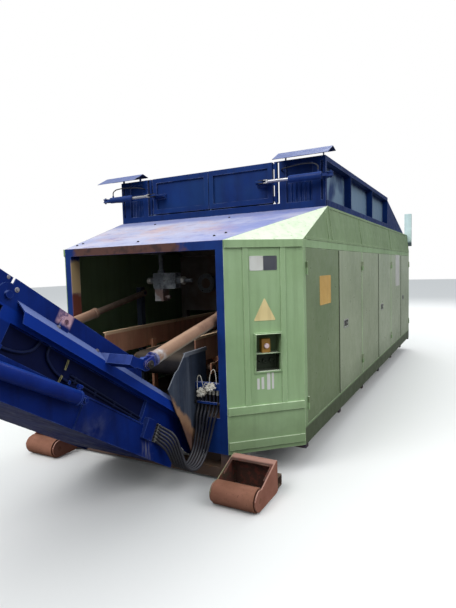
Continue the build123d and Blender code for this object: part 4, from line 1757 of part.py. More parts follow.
def engine():
    """Diesel engine with its pump, flywheel and finned radiator on a common bed."""
    floor = BODY_BOTTOM + FLOOR_SHEET
    x = (ENGINE_X - ENGINE_HALF, ENGINE_X + ENGINE_HALF)
    y = (ENGINE_START, ENGINE_START + ENGINE_LENGTH)
    base = floor + ENGINE_BED
    top = base + ENGINE_HEIGHT
    head_top = top + HEAD_HEIGHT
    radiator_y = (y[1] + RADIATOR_GAP, y[1] + RADIATOR_GAP + RADIATOR_DEPTH)
    bed_y = (y[0] - ENGINE_BED, radiator_y[1] + ENGINE_BED)
    axis_z = base + ENGINE_HEIGHT / 2
    pieces = [
        block((x[0] - ENGINE_BED_RAIL / 2, x[0] + ENGINE_BED_RAIL / 2), bed_y, (floor, base)),
        block((x[1] - ENGINE_BED_RAIL / 2, x[1] + ENGINE_BED_RAIL / 2), bed_y, (floor, base)),
        block(x, y, (base, top)),
        block((x[0] + HEAD_INSET, x[1] - HEAD_INSET), (y[0] + HEAD_INSET, y[1] - HEAD_INSET),
              (top, head_top)),
        bar_y(x[1], (y[0] + 2 * HEAD_INSET, y[1] - 2 * HEAD_INSET), top - HEAD_INSET, MANIFOLD_RADIUS),
        bar_y(ENGINE_X, (y[0] - PUMP_LENGTH, y[0]), axis_z, PUMP_RADIUS),
        bar_y(ENGINE_X, (y[1], y[1] + FLYWHEEL_LENGTH), axis_z, FLYWHEEL_RADIUS),
    ]
    radiator_x = (ENGINE_X - RADIATOR_HALF, ENGINE_X + RADIATOR_HALF)
    radiator = block(radiator_x, radiator_y, (base, base + RADIATOR_HEIGHT))
    pitch = RADIATOR_HEIGHT / FIN_COUNT
    for index in range(FIN_COUNT):
        z = base + (index + 1 / 4) * pitch
        groove = block((radiator_x[0] + HEAD_INSET, radiator_x[1] - HEAD_INSET),
                       (radiator_y[1] - RADIATOR_DEPTH / 4, radiator_y[1]), (z, z + pitch / 2))
        radiator = radiator - groove
    pieces.append(radiator)
    for place in evenly(y[0] + 3 * HEAD_INSET, y[1] - 3 * HEAD_INSET, CYLINDER_COUNT):
        pieces.append(bar_z(ENGINE_X, place, (head_top, head_top + INJECTOR_HEIGHT), INJECTOR_RADIUS))
    return joined(pieces)


def oil_tank():
    """Hydraulic oil tank with its filler."""
    floor = BODY_BOTTOM + FLOOR_SHEET
    x = (BODY_HALF_WIDTH - TANK_INSET - TANK_WIDTH, BODY_HALF_WIDTH - TANK_INSET)
    start = CHAMBER_END + CHAMBER_WALL + TANK_GAP
    top = floor + TANK_HEIGHT
    tank = block(x, (start, start + TANK_LENGTH), (floor, top))
    tank = fillet(tank.edges().filter_by(Axis.Z), TANK_ROUND)
    neck = bar_z(sum(x) / 2, start + TANK_LENGTH / 4, (top, top + NECK_HEIGHT), NECK_RADIUS)
    return joined([tank, neck])


def hose(index):
    """One hose of the bundle, from its place at the clamp bar to its coupling on the conveyor."""
    x = CLAMP_BAR_HALF + HOSE_START_MARGIN + HOSE_START_PITCH * index
    y = CLAMP_BAR + HOSE_RADIUS + 2 * PIN_PLAY
    across = COUPLING_LOW + COUPLING_PITCH * index
    end_y, end_z = incline(COUPLING_ALONG, across)
    near_y, near_z = incline(COUPLING_ALONG - MEMBER_HEIGHT, across)
    low_x = HOSE_LOW_X + HOSE_LOW_PITCH * index
    end_x = SIDE_HALF + CHANNEL_PROUD + HOSE_RADIUS + SIDE_PLATE / 2
    drop = MANIFOLD_Z - CLAMP_BAR_Z
    return hose_tube([
        (x, y, MANIFOLD_Z),
        (x, y, CLAMP_BAR_Z - HOSE_TOP_BEND),
        (x - (x - low_x) * 0.2, HOSE_FRONT + SHEET, CLAMP_BAR_Z - drop),
        (x - (x - low_x) * 0.5, HOSE_FRONT, CLAMP_BAR_Z - 1.7 * drop),
        (low_x, HOSE_TURN[0], HOSE_LOWEST + 0.7 * drop - 4 * index),
        (low_x, HOSE_TURN[1], HOSE_LOWEST - 2 * index),
        (low_x - 1.5 * HOSE_RADIUS, HOSE_TURN[2], HOSE_LOWEST + 0.3 * drop - 2 * index),
        ((low_x + end_x) / 2, near_y + MEMBER_HEIGHT - 3 * index, near_z - 0.7 * drop + 3 * index),
        (end_x, near_y, near_z),
        (end_x, end_y, end_z),
    ], HOSE_RADIUS)


def hose_loop():
    """Six hoses from the manifold, down round the cheek plate and up to the couplings."""
    return joined([hose(index) for index in range(HOSE_COUNT)])


def build():
    add("base_frame", base_frame())
    add("portal_frame", portal_frame())
    add("corner_panel_right", corner_panel(True))
    add("corner_panel_left", mirrored(corner_panel(False)))
    add("control_box", control_box())
    add("estop_housing", estop_housing())
    add("estop_button", estop_button())
    add("side_frame_right", side_frame_right())
    add("side_wall_left", side_wall_left())
    band = upper_band()
    add("upper_band_right", band)
    add("upper_band_left", mirrored(band))
    add("roof", roof())
    add("rear_wall", rear_wall())
    add("exhaust_stack", exhaust_stack())
    add("hopper_side_walls", hopper_side_walls())
    add("hopper_front", hopper_front())
    add("hopper_rear_hood", hopper_rear_hood())
    add("cylinder_canopies", cylinder_canopies())
    for name, shape in (("gate", gate()), ("gate_barrel", gate_barrel()), ("gate_rod", gate_rod())):
        right, left = gate_pair(shape)
        add(name + "_right", right)
        add(name + "_left", left)
    add("gate_hoses", gate_hoses())
    lines = hinge_lines()
    edges = []
    for meeting in door_meetings():
        edges.append(meeting - MEETING_GAP / 2)
        edges.append(meeting + MEETING_GAP / 2)
    for index, (line, edge) in enumerate(zip(lines, edges)):
        has_latch = index % 2 == 1
        add(f"door_{index + 1}", door(line[0], line[1], edge, has_latch))
        if has_latch:
            add(f"door_latch_{index + 1}", latch(edge, line[1]))
    add("roller_brackets", roller_brackets())
    add("roller_right", roller(RIGHT_ROLLER))
    add("roller_left", mirrored(roller(LEFT_ROLLER)))
    add("crusher_box", crusher_box())
    first = CHAMBER_START + DISC_PITCH / 8
    add("rotor_right", rotor(1, first))
    add("rotor_left", rotor(-1, first + DISC_PITCH / 2))
    add("rotor_bearings", rotor_bearings())
    add("rotor_motors", rotor_motors())
    add("collect_frame", collect_frame())
    add("collect_belt", level_belt())
    add("collect_head_drum", collect_drum(COLLECT_HEAD))
    add("collect_tail_drum", collect_drum(COLLECT_TAIL))
    add("conveyor_lower", conveyor_lower())
    add("conveyor_upper", conveyor_upper())
    add("conveyor_tail_drum", conveyor_drum(TAIL_ALONG, SIDE_HALF))
    add("conveyor_head_drum", conveyor_drum(HEAD_ALONG, UPPER_HALF))
    add("conveyor_belt", conveyor_belt())
    barrel, rod = lift_cylinder()
    add("lift_barrels", both_sides(barrel))
    add("lift_rods", both_sides(rod))
    barrel, rod = fold_cylinder()
    add("fold_barrels", both_sides(barrel))
    add("fold_rods", both_sides(rod))
    add("discharge_chute", discharge_chute())
    add("valve_block", valve_block())
    add("engine", engine())
    add("oil_tank", oil_tank())
    add("hose_loop", hose_loop())


build()
for name, shape in NODES.items():
    export_step(shape, f"parts/{name}.step")
for label, rates in (("lift", lift_linkage()), ("fold", fold_linkage()), ("gate", gate_linkage())):
    print(label, "stroke per radian", round(rates[0], 3), "swing per radian", round(rates[1], 5))
print("nodes", len(NODES))
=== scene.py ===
import bmesh
import bpy
import math
import random
from mathutils import Matrix, Vector


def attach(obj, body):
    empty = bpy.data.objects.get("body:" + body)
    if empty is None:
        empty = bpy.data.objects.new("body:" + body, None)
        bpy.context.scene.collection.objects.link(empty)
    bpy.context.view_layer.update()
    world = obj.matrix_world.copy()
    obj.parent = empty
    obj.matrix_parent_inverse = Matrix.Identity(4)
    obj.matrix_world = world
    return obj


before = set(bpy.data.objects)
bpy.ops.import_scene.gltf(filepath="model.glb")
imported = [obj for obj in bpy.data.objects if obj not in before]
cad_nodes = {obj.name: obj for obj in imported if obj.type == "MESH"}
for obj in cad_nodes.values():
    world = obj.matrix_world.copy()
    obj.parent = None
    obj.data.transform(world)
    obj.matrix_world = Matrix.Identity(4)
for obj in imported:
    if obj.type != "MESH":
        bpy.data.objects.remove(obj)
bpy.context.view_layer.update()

# The viewing place: eye height, in front of the right-hand corner, looking at the portal. Lens
# and turn were solved from the edges of the machine.
CAMERA_PLACE = Vector((2.436, -2.979, 1.600))
CAMERA_RIGHT = Vector((0.88045, 0.47335, -0.02761))
CAMERA_UP = Vector((-0.01122, 0.07901, 0.99681))
CAMERA_BACK = Vector((0.47403, -0.87733, 0.07487))
camera_data = bpy.data.cameras.new("yard_camera")
camera_data.sensor_width = 36.0
camera_data.lens = 27.67
camera_data.clip_end = 200.0
camera = bpy.data.objects.new("yard_camera", camera_data)
bpy.context.scene.collection.objects.link(camera)
turn = Matrix((CAMERA_RIGHT, CAMERA_UP, CAMERA_BACK)).transposed().to_4x4()
camera.matrix_world = Matrix.Translation(CAMERA_PLACE) @ turn
bpy.context.scene.camera = camera
bpy.context.scene.view_settings.view_transform = "Standard"


# Light of an overcast day: a sky that is brightest overhead and three soft lamps, over a plain
# pale floor that throws only a little light back up.
def linear(red, green, blue):
    """Colour written as 0 to 255 screen values."""
    tones = []
    for tone in (red, green, blue):
        share = tone / 255
        tones.append(share / 12.92 if share <= 0.04045 else ((share + 0.055) / 1.055) ** 2.4)
    return (*tones, 1.0)


def camera_sees(nodes, links, seen, lighting, target):
    """Shows the camera one shader and lights the machine with another."""
    path = nodes.new("ShaderNodeLightPath")
    blend = nodes.new("ShaderNodeMixShader")
    links.new(path.outputs["Is Camera Ray"], blend.inputs["Fac"])
    links.new(lighting, blend.inputs[1])
    links.new(seen, blend.inputs[2])
    links.new(blend.outputs["Shader"], target)


sky = bpy.data.worlds.new("overcast")
sky.use_nodes = True
sky_nodes = sky.node_tree.nodes
sky_links = sky.node_tree.links
sky_light = sky_nodes["Background"]
sky_place = sky_nodes.new("ShaderNodeTexCoord")
sky_split = sky_nodes.new("ShaderNodeSeparateXYZ")
sky_links.new(sky_place.outputs["Generated"], sky_split.inputs["Vector"])
sky_step = sky_nodes.new("ShaderNodeMapRange")
sky_step.inputs["From Min"].default_value = 0.0
sky_step.inputs["From Max"].default_value = 0.8
sky_step.inputs["To Min"].default_value = 0.34
sky_step.inputs["To Max"].default_value = 0.95
sky_links.new(sky_split.outputs["Z"], sky_step.inputs["Value"])
sky_links.new(sky_step.outputs["Result"], sky_light.inputs["Strength"])
sky_light.inputs["Color"].default_value = (0.90, 0.95, 1.0, 1.0)
sky_seen = sky_nodes.new("ShaderNodeBackground")
sky_seen.inputs["Color"].default_value = (1.0, 1.0, 1.0, 1.0)
sky_seen.inputs["Strength"].default_value = 1.0
camera_sees(sky_nodes, sky_links, sky_seen.outputs["Background"], sky_light.outputs["Background"],
            sky_nodes["World Output"].inputs["Surface"])
bpy.context.scene.world = sky
for lamp_name, lamp_place, lamp_size, power in (
    ("lamp_front", Vector((-3.0, -8.0, 10.0)), 9.0, 1250.0),
    ("lamp_right", Vector((10.0, -1.0, 8.0)), 8.0, 520.0),
    ("lamp_rear", Vector((0.0, 14.0, 10.0)), 9.0, 900.0),
):
    lamp_data = bpy.data.lights.new(lamp_name, "AREA")
    lamp_data.shape = "DISK"
    lamp_data.size = lamp_size
    lamp_data.energy = power
    lamp = bpy.data.objects.new(lamp_name, lamp_data)
    bpy.context.scene.collection.objects.link(lamp)
    aim = Vector((0.0, 1.5, 0.8)) - lamp_place
    lamp.matrix_world = Matrix.Translation(lamp_place) @ aim.to_track_quat("-Z", "Y").to_matrix().to_4x4()

bpy.ops.object.select_all(action="DESELECT")
bpy.ops.mesh.primitive_plane_add(size=90.0, location=(0.0, 3.0, -0.001))
floor = bpy.context.object
floor.name = "yard_floor"
floor_finish = bpy.data.materials.new("pale_floor")
floor_finish.use_nodes = True
floor_nodes = floor_finish.node_tree.nodes
floor_links = floor_finish.node_tree.links
floor_seen = floor_nodes["Principled BSDF"]
floor_seen.inputs["Base Color"].default_value = linear(226, 226, 224)
floor_seen.inputs["Roughness"].default_value = 0.9
floor_bounce = floor_nodes.new("ShaderNodeBsdfDiffuse")
floor_bounce.inputs["Color"].default_value = linear(128, 126, 124)
camera_sees(floor_nodes, floor_links, floor_seen.outputs["BSDF"], floor_bounce.outputs["BSDF"],
            floor_nodes["Material Output"].inputs["Surface"])
floor.data.materials.append(floor_finish)


# Base frame: welded skid beams and cross members of rolled steel, once navy, now mostly rust
# and splashed mud. It is the first painted piece, so the layered coat is made here.
class Coat:
    """A weathered finish in layers, each laid over the last, with its grain and dents."""

    def __init__(self, name, paint, faded, mottle=3.0, roughness=0.5, metallic=0.0, gloss=0.3):
        self.finish = bpy.data.materials.new(name)
        self.finish.use_nodes = True
        self.nodes = self.finish.node_tree.nodes
        self.links = self.finish.node_tree.links
        self.shader = self.nodes["Principled BSDF"]
        self.shader.inputs["Metallic"].default_value = metallic
        self.shader.inputs["Specular IOR Level"].default_value = gloss
        self.place = self.nodes.new("ShaderNodeTexCoord")
        self.roughness = roughness
        self.bare = None
        self.colour = self.mix(self.noise(mottle, 0.35, 0.68), linear(*paint), linear(*faded))

    def between(self, source, low, high):
        """0 at the low level of a pattern, 1 at the high one."""
        step = self.nodes.new("ShaderNodeMapRange")
        step.inputs["From Min"].default_value = low
        step.inputs["From Max"].default_value = high
        self.links.new(source, step.inputs["Value"])
        return step.outputs["Result"]

    def sum_up(self, operation, first, second):
        """One share worked out from two: MULTIPLY, ADD or MAXIMUM."""
        node = self.nodes.new("ShaderNodeMath")
        node.operation = operation
        for socket, value in ((node.inputs[0], first), (node.inputs[1], second)):
            if isinstance(value, (int, float)):
                socket.default_value = value
            else:
                self.links.new(value, socket)
        return node.outputs["Value"]

    def noise(self, scale, low, high, detail=5.0, rough=0.6, stretch=(1.0, 1.0, 1.0)):
        """Cloudy pattern; stretch draws it out, as rain does."""
        mapping = self.nodes.new("ShaderNodeMapping")
        mapping.inputs["Scale"].default_value = stretch
        self.links.new(self.place.outputs["Object"], mapping.inputs["Vector"])
        pattern = self.nodes.new("ShaderNodeTexNoise")
        pattern.inputs["Scale"].default_value = scale
        pattern.inputs["Detail"].default_value = detail
        pattern.inputs["Roughness"].default_value = rough
        self.links.new(mapping.outputs["Vector"], pattern.inputs["Vector"])
        return self.between(pattern.outputs["Fac"], low, high)

    def mix(self, share, first, second):
        blend = self.nodes.new("ShaderNodeMix")
        blend.data_type = "RGBA"
        self.links.new(share, blend.inputs["Factor"])
        for socket, value in ((blend.inputs["A"], first), (blend.inputs["B"], second)):
            if isinstance(value, tuple):
                socket.default_value = value
            else:
                self.links.new(value, socket)
        return blend.outputs["Result"]

    def span(self, direction, low, high, soft=0.02, ragged=0.0):
        """1 between two distances along a direction, with a soft or ragged edge."""
        dot = self.nodes.new("ShaderNodeVectorMath")
        dot.operation = "DOT_PRODUCT"
        self.links.new(self.place.outputs["Object"], dot.inputs[0])
        dot.inputs[1].default_value = direction
        level = dot.outputs["Value"]
        if ragged:
            wander = self.sum_up("MULTIPLY", self.noise(9.0, 0.3, 0.7), ragged)
            level = self.sum_up("ADD", level, wander)
        rising = self.between(level, low - soft, low + soft)
        falling = self.between(level, high + soft, high - soft)
        return self.sum_up("MULTIPLY", rising, falling)

    def area(self, *spans):
        """Where all the given spans overlap."""
        share = spans[0]
        for span in spans[1:]:
            share = self.sum_up("MULTIPLY", share, span)
        return share

    def facing(self, low, high):
        """How far a face looks up, from its own normal."""
        split = self.nodes.new("ShaderNodeSeparateXYZ")
        self.links.new(self.place.outputs["Normal"], split.inputs["Vector"])
        return self.between(split.outputs["Z"], low, high)

    def lay(self, share, tone, strength=1.0):
        if strength != 1.0:
            share = self.sum_up("MULTIPLY", share, strength)
        self.colour = self.mix(share, self.colour, linear(*tone))

    def rust_through(self, under, share, spot_size=9.0, where=None):
        """Patches where the coat has flaked off down to primer or rust."""
        level = 0.80 - 0.42 * share
        bare = self.noise(spot_size, level, level + 0.035, 8.0, 0.68)
        if where is not None:
            bare = self.sum_up("MULTIPLY", bare, where)
        deep = tuple(int(tone * 0.55) for tone in under)
        tone = self.mix(self.noise(26.0, 0.35, 0.65, 4.0, 0.7), linear(*under), linear(*deep))
        self.colour = self.mix(bare, self.colour, tone)
        self.bare = bare if self.bare is None else self.sum_up("MAXIMUM", self.bare, bare)

    def worn_edges(self, tone, radius=0.006, strength=0.8):
        """Edges rubbed down to a paler tone."""
        bevel = self.nodes.new("ShaderNodeBevel")
        bevel.samples = 4
        bevel.inputs["Radius"].default_value = radius
        plain = self.nodes.new("ShaderNodeNewGeometry")
        dot = self.nodes.new("ShaderNodeVectorMath")
        dot.operation = "DOT_PRODUCT"
        self.links.new(bevel.outputs["Normal"], dot.inputs[0])
        self.links.new(plain.outputs["Normal"], dot.inputs[1])
        edge = self.between(dot.outputs["Value"], 0.985, 0.90)
        rubbed = self.sum_up("MULTIPLY", edge, self.noise(7.0, 0.40, 0.62))
        self.lay(rubbed, tone, strength)

    def done(self, dents=0.05, grain=0.12):
        self.links.new(self.colour, self.shader.inputs["Base Color"])
        shine = self.nodes.new("ShaderNodeMapRange")
        shine.inputs["To Min"].default_value = self.roughness - 0.07
        shine.inputs["To Max"].default_value = self.roughness + 0.12
        self.links.new(self.noise(14.0, 0.3, 0.7, 3.0), shine.inputs["Value"])
        self.links.new(shine.outputs["Result"], self.shader.inputs["Roughness"])
        heights = [(self.noise(2.4, 0.0, 1.0, 2.0, 0.5), dents, 0.02),
                   (self.noise(90.0, 0.0, 1.0, 3.0, 0.7), grain, 0.002)]
        if self.bare is not None:
            heights.append((self.bare, -0.35, 0.003))
        normal = None
        for height, strength, distance in heights:
            bump = self.nodes.new("ShaderNodeBump")
            bump.invert = strength < 0
            bump.inputs["Strength"].default_value = abs(strength)
            bump.inputs["Distance"].default_value = distance
            self.links.new(height, bump.inputs["Height"])
            if normal is not None:
                self.links.new(normal, bump.inputs["Normal"])
            normal = bump.outputs["Normal"]
        self.links.new(normal, self.shader.inputs["Normal"])
        return self.finish


def weather(coat, chalk_and_top_light, grime, streaks=0.3, dirt=0.3, top_low=0.25):
    """Paler tone on the faces that look up, from chalked paint and partly painted top light; runs of rain down
    the sides, and dirt in clouds.
    """
    coat.lay(coat.facing(top_low, 0.85), chalk_and_top_light, 0.85)
    coat.lay(coat.noise(2.2, 0.48, 0.75, 4.0, 0.6, (7.0, 7.0, 0.55)), grime, streaks)
    coat.lay(coat.noise(1.3, 0.45, 0.78, 6.0, 0.65), grime, dirt)


def finish_node(finish, *names):
    """CAD nodes keep their shape and get this finish."""
    for name in names:
        mesh = cad_nodes[name].data
        mesh.materials.clear()
        mesh.materials.append(finish)


UP = (0.0, 0.0, 1.0)
RIGHT = (1.0, 0.0, 0.0)
BACK = (0.0, 1.0, 0.0)
beam_coat = Coat("muddy_skid_paint", (20, 28, 66), (30, 34, 60), roughness=0.7, gloss=0.2)
weather(beam_coat, (96, 84, 74), (70, 54, 42), 0.4, 0.7)
beam_coat.rust_through((112, 74, 52), 0.45, 5.0)
beam_coat.lay(beam_coat.span(UP, -0.1, 0.22, 0.05, 0.08), (124, 100, 80), 0.6)
finish_node(beam_coat.done(0.1), "base_frame")


# Portal frame: folded steel posts and lintel, painted blue. The lintel's face has rusted through
# along most of its length, and so has the inner face of the left post.
portal_coat = Coat("portal_blue_paint", (8, 38, 100), (14, 52, 118), roughness=0.48, gloss=0.16)
weather(portal_coat, (120, 128, 172), (16, 20, 44), 0.35, 0.35)
portal_coat.rust_through((104, 66, 50), 0.12)
lintel_rust = portal_coat.area(portal_coat.span(UP, 1.735, 1.86, 0.01),
                               portal_coat.span(BACK, -0.02, 0.03, 0.01),
                               portal_coat.span(RIGHT, -0.62, 0.50, 0.03, 0.14))
portal_coat.lay(lintel_rust, (86, 58, 48), 0.95)
portal_coat.lay(portal_coat.area(lintel_rust, portal_coat.noise(12.0, 0.5, 0.62)), (60, 44, 44))
post_inner_face = portal_coat.span(RIGHT, -0.735, -0.712, 0.004)
BARE_FROM, BARE_CHANGE, BARE_TO = 1.0, 1.42, 1.73
for low, high, tone in ((BARE_CHANGE, BARE_TO, (186, 160, 116)), (BARE_FROM, BARE_CHANGE, (112, 62, 40))):
    bare_stretch = portal_coat.area(post_inner_face, portal_coat.span(UP, low, high, 0.02, 0.05))
    portal_coat.lay(bare_stretch, tone, 0.9)
portal_coat.worn_edges((70, 96, 168), strength=0.6)
finish_node(portal_coat.done(), "portal_frame")


# Corner panels, side walls and upper bands: folded sheet, sprayed pale sage green, mossy where it faces the
# sky, pale on upward faces from chalk and painted top light, and darker towards the ground from splash dirt and
# painted shade.
def sage_coat(name, paint, faded, roughness, gloss):
    coat = Coat(name, paint, faded, mottle=1.6, roughness=roughness, gloss=gloss)
    # Pale tops: chalked paint and painted top light on the faces that look up.
    weather(coat, (226, 240, 212), (84, 98, 68), 0.25, 0.30)
    # Darker towards the ground: splash dirt and painted shade.
    coat.lay(coat.span(UP, 0.0, 0.52, 0.12, 0.10), (92, 108, 76), 0.45)
    moss = coat.area(coat.facing(0.2, 0.5), coat.noise(34.0, 0.60, 0.66, 6.0, 0.7))
    coat.lay(moss, (104, 128, 76), 0.7)
    coat.rust_through((112, 92, 62), 0.02)
    coat.worn_edges((196, 214, 178), strength=0.7)
    return coat


sage = sage_coat("sage_paint", (138, 166, 122), (148, 175, 134), 0.45, 0.3)
skirt = sage.area(sage.span(RIGHT, 1.2, 1.3, 0.01), sage.span(BACK, 0.44, 7.0, 0.002),
                  sage.span(UP, 0.0, 0.345, 0.008))
sage.lay(skirt, (48, 52, 36), 0.82)
finish_node(sage.done(), "corner_panel_left", "corner_panel_right", "side_wall_left", "side_frame_right")
band = sage_coat("upper_band_paint", (116, 138, 100), (126, 148, 110), 0.5, 0.25)
finish_node(band.done(), "upper_band_left", "upper_band_right")
rear_sage = sage_coat("sage_rear_paint", (122, 152, 110), (134, 160, 120), 0.55, 0.3)
rear_soot = rear_sage.area(rear_sage.span(UP, 1.2, 2.0, 0.2, 0.2), rear_sage.noise(3.0, 0.5, 0.7))
rear_sage.lay(rear_soot, (70, 74, 58), 0.5)
finish_node(rear_sage.done(), "rear_wall")


# Plates on the right corner panel: blank aluminium sheets, enamelled and riveted on, a cream
# three-cornered one below them, and four blank strips stuck on under the control box.
PANEL_FOOT = Vector((0.796, 0.0, 0.0))
PANEL_ALONG = Vector((0.7209, 0.6931, 0.0))
Z_UP = Vector((0.0, 0.0, 1.0))


def only_pick(piece):
    bpy.ops.object.select_all(action="DESELECT")
    piece.select_set(True)
    bpy.context.view_layer.objects.active = piece


def pick(piece, kind, rule):
    """Selects a piece's faces or edges by their place or normal, in edit mode."""
    bpy.ops.mesh.select_mode(type=kind)
    bpy.ops.mesh.select_all(action="DESELECT")
    shape = bmesh.from_edit_mesh(piece.data)
    shape.normal_update()
    for part in (shape.faces if kind == "FACE" else shape.edges):
        if rule(part):
            part.select_set(True)
    bmesh.update_edit_mesh(piece.data)


def apply_place():
    bpy.ops.object.transform_apply(location=True, rotation=True, scale=True)


def seat(piece, origin, right, up):
    """Puts a piece drawn flat, face up, at its place on the machine."""
    right = Vector(right).normalized()
    up = Vector(up).normalized()
    out = right.cross(up)
    piece.matrix_world = Matrix.Translation(origin) @ Matrix((right, up, out)).transposed().to_4x4()
    only_pick(piece)
    apply_place()


def fit(piece, finish, body):
    """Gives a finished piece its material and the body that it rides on."""
    piece.data.materials.clear()
    piece.data.materials.append(finish)
    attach(piece, body)


def joined_pieces(name, pieces):
    only_pick(pieces[0])
    for piece in pieces[1:]:
        piece.select_set(True)
    if len(pieces) > 1:
        bpy.ops.object.join()
    whole = bpy.context.object
    whole.name = name
    return whole


def copy_of(piece):
    twin = piece.copy()
    twin.data = piece.data.copy()
    bpy.context.scene.collection.objects.link(twin)
    return twin


def turned_piece(name, profile, sides=24):
    """A round piece as from a lathe: each step of its profile is a radius and a height."""
    bpy.ops.object.select_all(action="DESELECT")
    radius, height = profile[0]
    bpy.ops.mesh.primitive_circle_add(vertices=sides, radius=radius, fill_type="NGON",
                                      location=(0.0, 0.0, height))
    piece = bpy.context.object
    piece.name = name
    apply_place()
    bpy.ops.object.mode_set(mode="EDIT")
    for next_radius, next_height in profile[1:]:
        bpy.ops.mesh.extrude_region_move(TRANSFORM_OT_translate={"value": (0.0, 0.0, next_height - height)})
        grow = next_radius / radius
        bpy.ops.transform.resize(value=(grow, grow, 1.0), center_override=(0.0, 0.0, next_height))
        radius, height = next_radius, next_height
    bpy.ops.mesh.select_all(action="SELECT")
    bpy.ops.mesh.normals_make_consistent(inside=False)
    bpy.ops.object.mode_set(mode="OBJECT")
    only_pick(piece)
    bpy.ops.object.shade_smooth_by_angle(angle=math.radians(35))
    return piece


TRIANGLE_ACROSS, TRIANGLE_UP = 0.866, 0.75


def flat_plate(name, width, height, thick, corner, lip=0.0, sides=4):
    """Sheet cut to size and lying flat: round corners, broken edge, face pressed in behind a rim."""
    bpy.ops.object.select_all(action="DESELECT")
    if sides == 4:
        bpy.ops.mesh.primitive_cube_add(size=1.0, location=(0.0, 0.0, thick / 2))
        bpy.context.object.scale = (width, height, thick)
    else:
        bpy.ops.mesh.primitive_cylinder_add(vertices=sides, radius=0.5, depth=thick,
                                            location=(0.0, 0.0, thick / 2))
        bpy.context.object.scale = (width / TRIANGLE_ACROSS, height / TRIANGLE_UP, 1.0)
    plate = bpy.context.object
    plate.name = name
    apply_place()
    bpy.ops.object.mode_set(mode="EDIT")
    pick(plate, "EDGE", lambda edge: abs(edge.verts[0].co.z - edge.verts[1].co.z) > thick / 2)
    bpy.ops.mesh.bevel(offset=corner, segments=4, profile=0.5)
    if lip:
        pick(plate, "FACE", lambda face: face.normal.z > 0.9)
        bpy.ops.mesh.inset(thickness=lip)
        bpy.ops.mesh.inset(thickness=thick * 0.4, depth=-thick * 0.3)

    def is_rim(edge):
        slopes = [face.normal.z for face in edge.link_faces]
        on_top = min(v.co.z for v in edge.verts) > thick * 0.9
        return on_top and edge.is_manifold and max(slopes) > 0.9 and min(slopes) < 0.2

    pick(plate, "EDGE", is_rim)
    bpy.ops.mesh.bevel(offset=thick * 0.25, segments=2)
    bpy.ops.object.mode_set(mode="OBJECT")
    return plate


def on_corner(along, height):
    return PANEL_FOOT + PANEL_ALONG * along + Z_UP * height


enamel = Coat("white_enamel", (206, 208, 204), (190, 190, 184), roughness=0.35, gloss=0.4)
weather(enamel, (220, 220, 214), (120, 110, 92), 0.3, 0.25)
enamel.rust_through((110, 78, 56), 0.05, 20.0)
enamel_white = enamel.done(0.02)
cream = Coat("cream_enamel", (222, 204, 150), (208, 188, 134), roughness=0.4, gloss=0.4)
weather(cream, (226, 212, 170), (120, 104, 70), 0.3, 0.3)
cream.rust_through((112, 80, 50), 0.04, 18.0)
cream_enamel = cream.done(0.02)
slate = Coat("slate_enamel", (58, 60, 70), (76, 78, 86), roughness=0.4, gloss=0.4)
weather(slate, (110, 112, 118), (96, 92, 84), 0.3, 0.3)
slate_enamel = slate.done(0.02)
rivet = turned_piece("rivet_pattern", ((0.004, 0.0), (0.004, 0.0005), (0.0034, 0.0016), (0.0016, 0.0022)), 10)
PLATE_WIDTH, PLATE_HEIGHT, PLATE_LEVEL = 0.108, 0.108, 1.636
RIVET_SIDE, RIVET_LEVEL = 0.046, 0.045
RIVET_SEAT = PANEL_ALONG.cross(Z_UP) * 0.0014
for plate_name, middle, finish in (("corner_plate_left", 0.2525, enamel_white),
                                   ("corner_plate_right", 0.3615, slate_enamel)):
    face = flat_plate(plate_name, PLATE_WIDTH, PLATE_HEIGHT, 0.002, 0.008, 0.003)
    seat(face, on_corner(middle, PLATE_LEVEL), PANEL_ALONG, Z_UP)
    heads = []
    for level in (-RIVET_LEVEL, RIVET_LEVEL):
        for side in (-RIVET_SIDE, RIVET_SIDE):
            head = copy_of(rivet)
            seat(head, on_corner(middle + side, PLATE_LEVEL + level) + RIVET_SEAT, PANEL_ALONG, Z_UP)
            heads.append(head)
    fit(joined_pieces(plate_name, [face] + heads), finish, "machine")
bpy.data.objects.remove(rivet)
TRIANGLE_WIDTH, TRIANGLE_HEIGHT, TRIANGLE_MIDDLE, TRIANGLE_LEVEL = 0.176, 0.172, 0.3105, 1.264
triangle = flat_plate("corner_plate_triangle", TRIANGLE_WIDTH, TRIANGLE_HEIGHT, 0.002, 0.012, 0.004, 3)
seat(triangle, on_corner(TRIANGLE_MIDDLE, TRIANGLE_LEVEL), PANEL_ALONG, Z_UP)
fit(triangle, cream_enamel, "machine")
for index, (middle, low, high, wide) in enumerate(((0.249, 0.687, 0.770, 0.020), (0.284, 0.687, 0.778, 0.021),
                                                   (0.331, 0.679, 0.808, 0.026), (0.365, 0.683, 0.814, 0.017))):
    strip = flat_plate(f"corner_strip_{index + 1}", wide, high - low, 0.0012, 0.004, 0.0015)
    seat(strip, on_corner(middle, (low + high) / 2), PANEL_ALONG, Z_UP)
    fit(strip, enamel_white, "machine")


# Control box: folded sage box let into the corner panel, with a yellow stop housing on its shelf,
# a faded mushroom button, and black sockets in the cell below; painted shade darkens both cells.
box_coat = sage_coat("control_box_paint", (118, 146, 104), (130, 158, 116), 0.5, 0.3)
PANEL_OUT = (0.6931, -0.7209, 0.0)
PANEL_FACE, BOX_SHADE, SHELF_LEVEL = 0.5517, 0.018, 0.957
